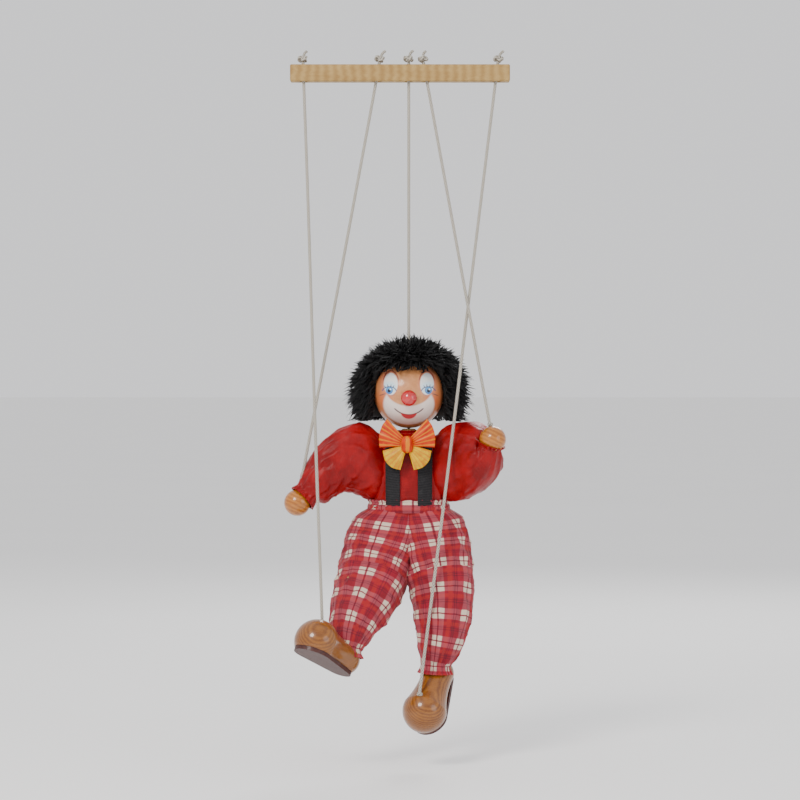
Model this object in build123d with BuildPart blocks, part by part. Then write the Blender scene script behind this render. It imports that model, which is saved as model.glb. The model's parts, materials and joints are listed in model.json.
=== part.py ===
from build123d import *
import os
from math import sqrt

# String marionette of a clown: a wooden control bar, five strings and a jointed wooden
# figure in a satin shirt, checked trousers, fur wig, bow tie and wooden shoes.
# Origin: middle of the control bar. +Z is up, the figure faces -Y.
# "right" and "left" are the figure's own, so its right side is at -X.

# ---- driving dimensions, mm ----
bar_length = 125.0
bar_depth = 10.0
bar_height = 9.5
bar_edge_radius = 0.8

string_radius = 0.9
string_hole_radius = 2.6
knot_radius = 3.6
knot_gap = 0.6
string_end_gap = 1.3

figure_x = 5.0
shoulder_drop = 217.0
hip_drop = 263.5
shoulder_half_width = 18.5
hip_half_width = 15.6
hip_setback = 3.7

head_radius = 20.0
head_drop = 182.0
cord_bore_radius = 1.4
neck_bead_radius = 4.5
neck_bead_height = 6.75
neck_bead_rounding = 1.5
neck_gap = 0.35
nose_radius = 4.6
nose_below_centre = 2.8
nose_peg_radius = 1.2
nose_peg_depth = 6.0
nose_peg_end_gap = 0.5

dowel_radius = 3.0
tongue_thickness = 2.4
slot_width = 2.8
slot_depth = 4.6
tongue_length = 5.2
pin_radius = 0.8
pin_clearance = 0.07
stub_length = 7.5

upper_arm_length = 27.0
forearm_length = 28.0
hand_radius = 7.5
hand_socket_depth = 5.0
thigh_length = 41.0
shank_length = 41.0

block_depth = 13.0
chest_block_width = 25.0
chest_block_height = 14.0
hip_block_width = 38.0
hip_block_rounding = 6.0
hip_block_height = 9.0
lath_width = 14.0
lath_thickness = 2.4
lower_knot_radius = 3.2

cloth = 1.0
cloth_gap = 0.4
shirt_top_drop = 206.6
shirt_chest_drop = 222.0
waist_drop = 245.6
shirt_top_size = (28.0, 20.0)
shirt_chest_size = (30.0, 22.0)
shirt_waist_size = (38.0, 25.0)
seat_waist_size = (44.0, 29.0)
seat_bottom_size = (46.0, 32.0)
seat_bottom_drop = 268.0
seat_front_rise = 20.0
corner_share = 0.36
armhole_radius = 6.5

sleeve_start = 8.0
sleeve_elbow_gap = 7.0
sleeve_cuff_gap = 5.5
upper_sleeve_radii = (7.0, 11.0, 6.0)
lower_sleeve_radii = (6.0, 7.5, 4.8)
trouser_start = 9.0
trouser_knee_gap = 7.5
trouser_cuff_gap = 10.5
upper_trouser_radii = (7.0, 10.5, 7.0)
lower_trouser_radii = (7.5, 11.5, 7.5)

strap_width = 7.6
strap_thickness = 1.0
strap_spread = 17.5
strap_gap = 0.2

bow_width = 35.0
bow_height = 28.0
bow_thickness = 4.0
bow_knot_width = 7.0
bow_knot_height = 8.0
bow_drop = 211.0
bow_y = -18.6
bow_wrap = 1.2
bow_x = figure_x - 1.0
bow_tail_share = 0.86

wig_radius = 30.0
wig_top_drop = 148.0
wig_shoulder_drop = 166.0
wig_bottom_drop = 196.0
wig_setback = 3.0
hairline_drop = 167.5
fringe_y = -21.5
face_opening_y = -7.0

shoe_axis_drop = 4.0
shoe_bulb_reach = 25.0
shoe_heel_radius = 9.0
shoe_bulb_radius = 12.5
shoe_waist_reach = 11.0
shoe_waist_radius = 9.2
shoe_sole_drop = 6.0
shoe_slot_root = 4.2
shoe_slot_size = 14.0
sole_thickness = 2.2
sole_inset = 0.4
ankle_tongue_length = 9.0
ankle_pin_length = 12.0

# Places chosen by hand for the pose that the figure hangs in.
right_hand_place = Vector(-58, -14, -244)
left_hand_place = Vector(52, -24, -208)
right_ankle_place = Vector(-30, -38, -326)
left_ankle_place = Vector(20, -17, -338)
posed_arm_length = 55.0
posed_leg_length = 82.0
right_toe_direction = Vector(-0.58, -0.68, 0.44).normalized()
left_toe_direction = Vector(-0.31, -0.55, -0.78).normalized()
right_instep_side = Vector(0.22, 0.64, 0.72).normalized()
left_instep_side = Vector(-0.25, -0.60, 0.76).normalized()
right_hand_hole = Vector(-13, 0, 0)
left_hand_hole = Vector(14.5, 0, 0)
foot_hole_inset = 7.5
right_foot_hole = Vector(-bar_length / 2 + foot_hole_inset, 0, 0)
left_foot_hole = Vector(bar_length / 2 - foot_hole_inset, 0, 0)
head_hole = Vector(figure_x, 0, 0)

up = Vector(0, 0, 1)
os.makedirs("parts", exist_ok=True)


def save(piece, name):
    """Labels a finished piece and writes it to its own file."""
    piece.part.label = name
    export_step(piece.part, "parts/" + name + ".step")


def across(vector, direction):
    """The share of a vector that lies square to a direction."""
    return vector - direction * vector.dot(direction)


def middle_joint(root, tip, hinge, first, second):
    """Where two links of given lengths meet, on the side that the hinge lifts towards."""
    span = tip - root
    reach = (first**2 - second**2 + span.length**2) / (2 * span.length)
    rise = sqrt(first**2 - reach**2)
    along = span.normalized()
    return root + along * reach + hinge.cross(along) * rise


def link_plane(start, end, hinge):
    """A plane at the link's start: x runs along the link and z along the hinge."""
    return Plane(origin=start, x_dir=end - start, z_dir=hinge)


def dowel(start, end, hinge, tongue=True, fork=False, end_tongue_length=0):
    """A round wooden link, with a flat tongue or a slotted fork round each joint."""
    length = (end - start).length
    pinned_end = fork or end_tongue_length > 0
    reach = length + (dowel_radius if pinned_end else 0)
    flat = dowel_radius - tongue_thickness / 2
    side = (dowel_radius + tongue_thickness / 2) / 2
    bore = pin_radius + pin_clearance
    with BuildPart(link_plane(start, end, hinge)) as link:
        with Locations((-dowel_radius, 0, 0)):
            Cylinder(
                dowel_radius,
                reach + dowel_radius,
                rotation=(0, 90, 0),
                align=(Align.CENTER, Align.CENTER, Align.MIN),
            )
        with BuildSketch(link_plane(start, end, hinge)):
            Circle(dowel_radius)
            with Locations((length / 2, 0)):
                Rectangle(length, 2 * dowel_radius)
            if pinned_end:
                with Locations((length, 0)):
                    Circle(dowel_radius)
        extrude(amount=dowel_radius, both=True, mode=Mode.INTERSECT)
        if tongue:
            cut = tongue_length + dowel_radius
            with Locations((tongue_length - cut / 2, 0, side), (tongue_length - cut / 2, 0, -side)):
                Box(cut, 3 * dowel_radius, flat, mode=Mode.SUBTRACT)
            Cylinder(bore, 3 * dowel_radius, mode=Mode.SUBTRACT)
        if end_tongue_length > 0:
            cut = end_tongue_length + dowel_radius
            middle = length + dowel_radius - cut / 2
            with Locations((middle, 0, side), (middle, 0, -side)):
                Box(cut, 3 * dowel_radius, flat, mode=Mode.SUBTRACT)
            with Locations((length, 0, 0)):
                Cylinder(bore, 3 * dowel_radius, mode=Mode.SUBTRACT)
        if fork:
            cut = slot_depth + dowel_radius
            with Locations((length + dowel_radius - cut / 2, 0, 0)):
                Box(cut, 3 * dowel_radius, slot_width, mode=Mode.SUBTRACT)
            with Locations((length, 0, 0)):
                Cylinder(pin_radius, 3 * dowel_radius, mode=Mode.SUBTRACT)
    return link


def fork_stub(place, direction, hinge):
    """A short forked dowel that ends round a joint and starts inside a block."""
    return dowel(place - direction * stub_length, place, hinge, tongue=False, fork=True)


def hinge_pin(place, hinge, length):
    """A wire pin through a joint."""
    with BuildPart(Plane(origin=place, z_dir=hinge)) as pin:
        Cylinder(pin_radius, length)
    return pin


def barrel(start, end, hinge, first, last, radii):
    """A hollow puffed tube of cloth round a link, from first to last along it."""
    begin, middle, finish = radii
    half_way = (first + last) / 2
    with BuildPart() as tube:
        with BuildSketch(link_plane(start, end, hinge)):
            with BuildLine():
                ThreePointArc((first, begin), (half_way, middle), (last, finish))
                Line((last, finish), (last, finish - cloth))
                ThreePointArc(
                    (last, finish - cloth), (half_way, middle - cloth), (first, begin - cloth)
                )
                Line((first, begin - cloth), (first, begin))
            make_face()
        revolve(axis=Axis(start, end - start))
    return tube


def string(low, hole):
    """A tight string from its low end to the knot that stops it on top of the bar."""
    direction = (hole - low).normalized()
    knot_height = bar_height / 2 + knot_gap + knot_radius
    knot_place = low + direction * ((knot_height - low.Z) / direction.Z)
    bottom = low + direction * string_end_gap
    length = (knot_place - bottom).length
    with BuildPart(Plane(origin=bottom, z_dir=direction)) as cord:
        Cylinder(string_radius, length, align=(Align.CENTER, Align.CENTER, Align.MIN))
        with Locations((0, 0, length)):
            Sphere(knot_radius)
    print("string", [round(v, 2) for v in bottom], [round(v, 2) for v in knot_place], round(length, 1))
    return cord


def report_joint(name, place, hinge):
    """Prints where a hinge is and which way its axis points."""
    print("joint", name, [round(v, 4) for v in place], [round(v, 6) for v in hinge])


def rounded_form(levels, grow):
    """A solid through rounded rectangles, each given as (drop, (width, depth))."""
    with BuildPart() as form:
        for drop, (width, depth) in levels:
            with BuildSketch(Plane((figure_x, 0, -drop))):
                RectangleRounded(width + 2 * grow, depth + 2 * grow, corner_share * (depth + 2 * grow))
        loft(ruled=True)
    return form


# ---- control bar: one stick with five holes in a row ----
string_holes = [right_foot_hole, right_hand_hole, head_hole, left_hand_hole, left_foot_hole]
with BuildPart() as control_bar:
    Box(bar_length, bar_depth, bar_height)
    fillet(control_bar.edges(), bar_edge_radius)
    with Locations(*string_holes):
        Cylinder(string_hole_radius, 2 * bar_height, mode=Mode.SUBTRACT)
save(control_bar, "control_bar")

# ---- places and hinge axes of the limbs ----
shoulder = {
    "right": Vector(figure_x - shoulder_half_width, 0, -shoulder_drop),
    "left": Vector(figure_x + shoulder_half_width, 0, -shoulder_drop),
}
hip = {
    "right": Vector(figure_x - hip_half_width, hip_setback, -hip_drop),
    "left": Vector(figure_x + hip_half_width, hip_setback, -hip_drop),
}
# Limbs of another length carry the hand or ankle along the line from its shoulder or hip.
arm_stretch = (upper_arm_length + forearm_length) / posed_arm_length
leg_stretch = (thigh_length + shank_length) / posed_leg_length
hand = {
    "right": shoulder["right"] + (right_hand_place - shoulder["right"]) * arm_stretch,
    "left": shoulder["left"] + (left_hand_place - shoulder["left"]) * arm_stretch,
}
hand_hole = {"right": right_hand_hole, "left": left_hand_hole}
ankle = {
    "right": hip["right"] + (right_ankle_place - hip["right"]) * leg_stretch,
    "left": hip["left"] + (left_ankle_place - hip["left"]) * leg_stretch,
}
foot_hole = {"right": right_foot_hole, "left": left_foot_hole}
toe = {"right": right_toe_direction, "left": left_toe_direction}
instep_side = {"right": right_instep_side, "left": left_instep_side}

# The right elbow stands above the line from shoulder to hand, and the left one hangs below it.
elbow_side = {"right": 1, "left": -1}

hand_pull = {}
arm_hinge = {}
elbow = {}
foot_top = {}
instep = {}
foot_pull = {}
leg_hinge = {}
knee = {}
for side in ("right", "left"):
    hand_pull[side] = (hand_hole[side] - hand[side]).normalized()
    arm_hinge[side] = (hand[side] - shoulder[side]).cross(hand_pull[side]).normalized()
    elbow[side] = middle_joint(
        shoulder[side],
        hand[side],
        arm_hinge[side] * elbow_side[side],
        upper_arm_length,
        forearm_length,
    )
    foot_top[side] = across(up, toe[side]).normalized()
    bulb_middle = ankle[side] - foot_top[side] * shoe_axis_drop + toe[side] * shoe_bulb_reach
    instep[side] = bulb_middle + instep_side[side] * shoe_bulb_radius
    foot_pull[side] = (foot_hole[side] - instep[side]).normalized()
    leg_hinge[side] = (ankle[side] - hip[side]).cross(foot_pull[side]).normalized()
    knee[side] = middle_joint(
        hip[side], ankle[side], leg_hinge[side], thigh_length, shank_length
    )

# ---- wooden core: chest block, spine lath and hip block ----
chest_top = -head_drop - head_radius - neck_bead_height
chest_middle = chest_top - chest_block_height / 2
hip_middle = -hip_drop + stub_length + hip_block_height / 2 - dowel_radius
with BuildPart() as chest_block:
    with Locations((figure_x, 0, chest_middle)):
        Box(chest_block_width, block_depth, chest_block_height)
    fillet(chest_block.edges().filter_by(Axis.Z), dowel_radius)
    for side in ("right", "left"):
        outward = across(hand[side] - shoulder[side], hand_pull[side]).normalized()
        add(fork_stub(shoulder[side], outward, arm_hinge[side]).part)
    with Locations((figure_x, 0, chest_middle)):
        Cylinder(cord_bore_radius, 2 * chest_block_height, mode=Mode.SUBTRACT)
save(chest_block, "chest_block")

with BuildPart() as hip_block:
    with Locations((figure_x, hip_setback, hip_middle)):
        Box(hip_block_width, block_depth, hip_block_height)
    fillet(hip_block.edges().filter_by(Axis.Z), hip_block_rounding)
    for side in ("right", "left"):
        add(fork_stub(hip[side], foot_pull[side] * -1, leg_hinge[side]).part)
save(hip_block, "hip_block")

lath_bottom = hip_middle + hip_block_height / 2
lath_top = chest_top - chest_block_height
with BuildPart() as spine_lath:
    with Locations((figure_x, block_depth / 2, lath_bottom)):
        Box(
            lath_width,
            lath_thickness,
            lath_top - lath_bottom,
            align=(Align.CENTER, Align.MAX, Align.MIN),
        )
save(spine_lath, "spine_lath")

# ---- head string, neck bead, head, nose and wig ----
head_place = Vector(figure_x, 0, -head_drop)
lower_knot_z = lath_top - knot_gap - lower_knot_radius
upper_knot_z = bar_height / 2 + knot_gap + knot_radius
with BuildPart() as head_string:
    with Locations((figure_x, 0, lower_knot_z)):
        Cylinder(
            string_radius,
            upper_knot_z - lower_knot_z,
            align=(Align.CENTER, Align.CENTER, Align.MIN),
        )
        Sphere(lower_knot_radius)
    with Locations((figure_x, 0, upper_knot_z)):
        Sphere(knot_radius)
save(head_string, "head_string")
print("head string", round(lower_knot_z, 2), round(upper_knot_z, 2))

with BuildPart() as neck_bead:
    with Locations((figure_x, 0, chest_top)):
        Cylinder(
            neck_bead_radius,
            neck_bead_height - neck_gap,
            align=(Align.CENTER, Align.CENTER, Align.MIN),
        )
    fillet(neck_bead.edges(), neck_bead_rounding)
    with Locations((figure_x, 0, chest_top)):
        Cylinder(cord_bore_radius, 4 * neck_bead_height, mode=Mode.SUBTRACT)
save(neck_bead, "neck_bead")

nose_place = head_place + Vector(0, -sqrt(head_radius**2 - nose_below_centre**2), -nose_below_centre)
nose_direction = (nose_place - head_place).normalized()
peg_plane = Plane(origin=nose_place, z_dir=nose_direction * -1)
with BuildPart() as head_ball:
    with Locations(head_place):
        Sphere(head_radius)
        Cylinder(cord_bore_radius, 3 * head_radius, mode=Mode.SUBTRACT)
    with BuildSketch(peg_plane):
        Circle(nose_peg_radius)
    extrude(amount=nose_peg_depth, mode=Mode.SUBTRACT)
save(head_ball, "head_ball")

with BuildPart() as nose:
    with Locations(nose_place):
        Sphere(nose_radius)
    with Locations(head_place):
        Sphere(head_radius, mode=Mode.SUBTRACT)
    with BuildSketch(peg_plane.offset(-nose_radius / 2)):
        Circle(nose_peg_radius)
    extrude(amount=nose_peg_depth + nose_radius / 2 - nose_peg_end_gap)
save(nose, "nose")

with BuildPart() as wig_shell:
    with BuildSketch(Plane.XZ.offset(-wig_setback)):
        with BuildLine():
            ThreePointArc(
                (figure_x, -wig_top_drop),
                (
                    figure_x + wig_radius * sqrt(0.5),
                    -wig_shoulder_drop + (wig_shoulder_drop - wig_top_drop) * sqrt(0.5),
                ),
                (figure_x + wig_radius, -wig_shoulder_drop),
            )
            Polyline(
                (figure_x + wig_radius, -wig_shoulder_drop),
                (figure_x + wig_radius, -wig_bottom_drop),
                (figure_x, -wig_bottom_drop),
                (figure_x, -wig_top_drop),
            )
        make_face()
    revolve(axis=Axis((figure_x, wig_setback, 0), (0, 0, 1)))
with BuildPart() as wig:
    add(wig_shell.part)
    with Locations(head_place):
        Sphere(head_radius, mode=Mode.SUBTRACT)
    with Locations((figure_x, fringe_y, -head_drop)):
        Box(
            4 * wig_radius,
            2 * wig_radius,
            4 * wig_radius,
            align=(Align.CENTER, Align.MAX, Align.CENTER),
            mode=Mode.SUBTRACT,
        )
    with Locations((figure_x, face_opening_y, -hairline_drop)):
        Box(
            4 * wig_radius,
            2 * wig_radius,
            4 * wig_radius,
            align=(Align.CENTER, Align.MAX, Align.MAX),
            mode=Mode.SUBTRACT,
        )
    with Locations((figure_x, 0, -wig_top_drop)):
        Cylinder(cord_bore_radius, 2 * wig_radius, mode=Mode.SUBTRACT)
save(wig, "wig")

# ---- shirt body, suspenders and trouser seat ----
shirt_levels = [
    (shirt_top_drop, shirt_top_size),
    (shirt_chest_drop, shirt_chest_size),
    (waist_drop, shirt_waist_size),
]
shirt_outer = rounded_form(shirt_levels, 0)
shirt_inner_levels = [(shirt_top_drop + cloth, shirt_top_size)] + shirt_levels[1:2]
shirt_inner_levels.append((waist_drop + cloth, shirt_waist_size))
shirt_inner = rounded_form(shirt_inner_levels, -cloth)
with BuildPart() as shirt_body:
    add(shirt_outer.part)
    add(shirt_inner.part, mode=Mode.SUBTRACT)
    with Locations((figure_x, 0, -shirt_top_drop)):
        Cylinder(neck_bead_radius + cloth, 4 * cloth, mode=Mode.SUBTRACT)
    for side in ("right", "left"):
        outward = across(hand[side] - shoulder[side], hand_pull[side]).normalized()
        inside = shoulder[side] - outward * (stub_length + 2 * dowel_radius)
        with BuildSketch(Plane(origin=inside, z_dir=outward)):
            Circle(armhole_radius)
        extrude(amount=2 * stub_length + 2 * dowel_radius, mode=Mode.SUBTRACT)
save(shirt_body, "shirt_body")

strap_reach = strap_gap + strap_thickness
strap_outer_levels = [(shirt_top_drop - strap_reach, shirt_top_size)] + shirt_levels[1:]
strap_inner_levels = [(shirt_top_drop - strap_gap, shirt_top_size)] + shirt_levels[1:]
strap_outer = rounded_form(strap_outer_levels, strap_reach)
strap_inner = rounded_form(strap_inner_levels, strap_gap)
for side, way in (("right", -1), ("left", 1)):
    with BuildPart() as suspender:
        add(strap_outer.part)
        add(strap_inner.part, mode=Mode.SUBTRACT)
        with Locations((figure_x + way * strap_spread / 2, 0, -waist_drop)):
            Box(
                strap_width,
                2 * shirt_waist_size[1],
                waist_drop - shirt_top_drop + 2 * strap_reach,
                align=(Align.CENTER, Align.CENTER, Align.MIN),
                mode=Mode.INTERSECT,
            )
    save(suspender, side + "_suspender")

seat_levels = [(waist_drop + cloth_gap, seat_waist_size), (seat_bottom_drop, seat_bottom_size)]
seat_outer = rounded_form(seat_levels, 0)
seat_inner = rounded_form(seat_levels, -cloth)
front_bottom = -seat_bottom_drop + seat_front_rise
half_depth = seat_bottom_size[1] / 2
with BuildPart() as trousers_seat:
    add(seat_outer.part)
    add(seat_inner.part, mode=Mode.SUBTRACT)
    with BuildSketch(Plane.YZ.offset(figure_x)):
        with BuildLine():
            Polyline(
                (-2 * half_depth, front_bottom + seat_front_rise / 2),
                (half_depth, -seat_bottom_drop),
                (half_depth, -2 * seat_bottom_drop),
                (-2 * half_depth, -2 * seat_bottom_drop),
                close=True,
            )
        make_face()
    extrude(amount=seat_bottom_size[0], both=True, mode=Mode.SUBTRACT)
save(trousers_seat, "trousers_seat")

# ---- bow tie: pleated wings held by a wrapped knot ----
bow_plane = Plane(origin=(bow_x, bow_y, -bow_drop), x_dir=(1, 0, 0), z_dir=(0, -1, 0))
waist_half = bow_knot_height / 2
with BuildPart() as bow_wings:
    with BuildSketch(bow_plane):
        with BuildLine():
            Polyline(
                (-bow_width / 2, bow_height / 2),
                (-bow_knot_width / 2, waist_half),
                (bow_knot_width / 2, waist_half),
                (bow_width / 2, bow_height / 2),
                (bow_width * bow_tail_share / 2, -bow_height / 2),
                (bow_knot_width / 2, -waist_half),
                (-bow_knot_width / 2, -waist_half),
                (-bow_width * bow_tail_share / 2, -bow_height / 2),
                close=True,
            )
        make_face()
    extrude(amount=bow_thickness / 2, both=True)
save(bow_wings, "bow_wings")

tab_reach = -bow_y - shirt_top_size[1] / 2 - cloth
with BuildPart(bow_plane) as bow_knot:
    Box(
        bow_knot_width - 2 * cloth_gap,
        bow_knot_height + 2 * bow_wrap,
        bow_thickness + 2 * bow_wrap,
    )
    Box(bow_knot_width, bow_knot_height, bow_thickness, mode=Mode.SUBTRACT)
    with Locations((0, 0, -bow_thickness / 2)):
        Box(
            bow_knot_width / 2,
            bow_knot_height / 2,
            tab_reach - bow_thickness / 2,
            align=(Align.CENTER, Align.CENTER, Align.MAX),
        )
save(bow_knot, "bow_knot")

# ---- arms ----
for side in ("right", "left"):
    hinge = arm_hinge[side]
    report_joint(side + "_shoulder", shoulder[side], hinge)
    report_joint(side + "_elbow", elbow[side], hinge)
    save(hinge_pin(shoulder[side], hinge, 2 * dowel_radius), side + "_shoulder_pin")
    save(dowel(shoulder[side], elbow[side], hinge, fork=True), side + "_upper_arm")
    save(hinge_pin(elbow[side], hinge, 2 * dowel_radius), side + "_elbow_pin")
    reach = forearm_length - hand_radius + hand_socket_depth
    forearm_way = (hand[side] - elbow[side]).normalized()
    forearm_end = elbow[side] + forearm_way * reach
    save(dowel(elbow[side], forearm_end, hinge), side + "_forearm")
    with BuildPart() as hand_ball:
        with Locations(hand[side]):
            Sphere(hand_radius)
        with BuildSketch(Plane(origin=forearm_end, z_dir=forearm_way * -1)):
            Circle(dowel_radius)
        extrude(amount=2 * hand_socket_depth, mode=Mode.SUBTRACT)
    save(hand_ball, side + "_hand")
    upper_sleeve = barrel(
        shoulder[side],
        elbow[side],
        hinge,
        sleeve_start,
        upper_arm_length - sleeve_elbow_gap,
        upper_sleeve_radii,
    )
    save(upper_sleeve, side + "_upper_sleeve")
    lower_sleeve = barrel(
        elbow[side],
        hand[side],
        hinge,
        sleeve_elbow_gap,
        forearm_length - hand_radius - sleeve_cuff_gap,
        lower_sleeve_radii,
    )
    save(lower_sleeve, side + "_lower_sleeve")
    save(string(hand[side] + hand_pull[side] * hand_radius, hand_hole[side]), side + "_hand_string")

# ---- legs ----
for side in ("right", "left"):
    hinge = leg_hinge[side]
    report_joint(side + "_hip", hip[side], hinge)
    report_joint(side + "_knee", knee[side], hinge)
    report_joint(side + "_ankle", ankle[side], hinge)
    save(hinge_pin(hip[side], hinge, 2 * dowel_radius), side + "_hip_pin")
    save(dowel(hip[side], knee[side], hinge, fork=True), side + "_thigh")
    save(hinge_pin(knee[side], hinge, 2 * dowel_radius), side + "_knee_pin")
    shank = dowel(knee[side], ankle[side], hinge, end_tongue_length=ankle_tongue_length)
    save(shank, side + "_shank")
    save(hinge_pin(ankle[side], hinge, ankle_pin_length), side + "_ankle_pin")

    shoe_plane = Plane(
        origin=ankle[side] - foot_top[side] * shoe_axis_drop,
        x_dir=toe[side],
        z_dir=toe[side].cross(foot_top[side]),
    )
    slope = (shoe_bulb_radius - shoe_heel_radius) / shoe_bulb_reach
    rise = sqrt(1 - slope**2)
    heel_edge = (-shoe_heel_radius * slope, shoe_heel_radius * rise)
    bulb_edge = (shoe_bulb_reach - shoe_bulb_radius * slope, shoe_bulb_radius * rise)
    diagonal = sqrt(0.5)
    with BuildPart() as shoe:
        with BuildSketch(shoe_plane):
            with BuildLine():
                ThreePointArc(
                    (-shoe_heel_radius, 0),
                    (-shoe_heel_radius * diagonal, shoe_heel_radius * diagonal),
                    heel_edge,
                )
                ThreePointArc(heel_edge, (shoe_waist_reach, shoe_waist_radius), bulb_edge)
                ThreePointArc(
                    bulb_edge,
                    (
                        shoe_bulb_reach + shoe_bulb_radius * diagonal,
                        shoe_bulb_radius * diagonal,
                    ),
                    (shoe_bulb_reach + shoe_bulb_radius, 0),
                )
                Line((shoe_bulb_reach + shoe_bulb_radius, 0), (-shoe_heel_radius, 0))
            make_face()
        revolve(axis=Axis(shoe_plane.origin, toe[side]))
        sole_plane = Plane(
            origin=shoe_plane.origin - foot_top[side] * shoe_sole_drop,
            x_dir=toe[side],
            z_dir=foot_top[side],
        )
        split(bisect_by=sole_plane, keep=Keep.TOP)
        slot_plane = link_plane(ankle[side], knee[side], hinge)
        with BuildSketch(slot_plane):
            Rectangle(shoe_slot_size, shoe_slot_size, align=(Align.MIN, Align.CENTER))
            Circle(shoe_slot_root)
        extrude(amount=slot_width / 2, both=True, mode=Mode.SUBTRACT)
        with BuildSketch(slot_plane):
            Circle(pin_radius)
        extrude(amount=ankle_pin_length / 2, both=True, mode=Mode.SUBTRACT)
    save(shoe, side + "_shoe")

    with BuildPart() as sole:
        with BuildSketch(sole_plane):
            with BuildLine():
                CenterArc(
                    (0, 0), sqrt(shoe_heel_radius**2 - shoe_sole_drop**2) - sole_inset, 0, 360
                )
                CenterArc(
                    (shoe_bulb_reach, 0),
                    sqrt(shoe_bulb_radius**2 - shoe_sole_drop**2) - sole_inset,
                    0,
                    360,
                )
            make_hull()
        extrude(amount=-sole_thickness)
    save(sole, side + "_sole")

    upper_trouser = barrel(
        hip[side],
        knee[side],
        hinge,
        trouser_start,
        thigh_length - trouser_knee_gap,
        upper_trouser_radii,
    )
    save(upper_trouser, side + "_upper_trouser")
    lower_trouser = barrel(
        knee[side],
        ankle[side],
        hinge,
        trouser_knee_gap,
        shank_length - trouser_cuff_gap,
        lower_trouser_radii,
    )
    save(lower_trouser, side + "_lower_trouser")
    save(string(instep[side], foot_hole[side]), side + "_foot_string")
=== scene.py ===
import json
import math

import bpy
import numpy as np
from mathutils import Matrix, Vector


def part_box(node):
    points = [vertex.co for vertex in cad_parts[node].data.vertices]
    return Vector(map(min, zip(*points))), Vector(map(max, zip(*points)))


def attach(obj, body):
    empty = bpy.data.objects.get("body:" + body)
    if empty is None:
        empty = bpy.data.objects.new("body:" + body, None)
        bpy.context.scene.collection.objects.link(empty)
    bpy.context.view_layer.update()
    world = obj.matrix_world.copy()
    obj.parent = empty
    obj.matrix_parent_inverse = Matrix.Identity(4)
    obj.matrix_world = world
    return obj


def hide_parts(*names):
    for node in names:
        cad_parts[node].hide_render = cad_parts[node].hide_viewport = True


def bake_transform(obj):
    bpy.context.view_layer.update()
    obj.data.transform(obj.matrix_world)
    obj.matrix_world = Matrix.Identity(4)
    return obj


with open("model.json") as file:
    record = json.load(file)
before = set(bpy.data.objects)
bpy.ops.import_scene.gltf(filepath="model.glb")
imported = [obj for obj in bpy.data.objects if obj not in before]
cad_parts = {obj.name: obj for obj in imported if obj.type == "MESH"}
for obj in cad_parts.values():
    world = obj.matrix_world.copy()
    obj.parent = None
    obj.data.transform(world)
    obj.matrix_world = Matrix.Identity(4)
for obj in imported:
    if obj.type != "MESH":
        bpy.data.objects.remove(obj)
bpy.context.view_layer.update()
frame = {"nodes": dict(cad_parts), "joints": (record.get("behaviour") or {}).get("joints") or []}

# A string marionette of a clown. Lengths in this script are millimetres until a mesh,
# curve, light or camera is made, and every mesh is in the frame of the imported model.
MM = 0.001
TAU = 2 * math.pi
FIGURE_X = 5.0
UP = np.array([0.0, 0.0, 1.0])

joints = {j["name"]: j for j in frame["joints"]}


def joint_place(name):
    return np.array(joints[name]["pos_m"]) / MM


def joint_axis(name):
    axis = np.array(joints[name]["axis"], float)
    return axis / np.linalg.norm(axis)


def box_centre(node):
    low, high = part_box(node)
    return np.array((low + high) / 2) / MM


def unit(v):
    v = np.asarray(v, float)
    return v / np.linalg.norm(v, axis=-1, keepdims=True)


def smooth(x, low, high):
    t = np.clip((np.asarray(x, float) - low) / (high - low), 0, 1)
    return t * t * (3 - 2 * t)


# ---------------------------------------------------------------- camera
scene = bpy.context.scene
camera_data = bpy.data.cameras.new("camera")
camera_data.lens = 120
camera_data.sensor_width = 36
camera = bpy.data.objects.new("camera", camera_data)
scene.collection.objects.link(camera)
camera.location = (0.0, -1.52, -0.178)
camera.rotation_euler = (Vector((0.0, 0.0, -0.186)) - camera.location).to_track_quat("-Z", "Y").to_euler()
camera_data.clip_start = 0.05
camera_data.clip_end = 50
scene.camera = camera


# ---------------------------------------------------------------- materials
def new_material(name):
    material = bpy.data.materials.new(name)
    material.use_nodes = True
    shader = material.node_tree.nodes["Principled BSDF"]
    return material, material.node_tree, shader


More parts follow.
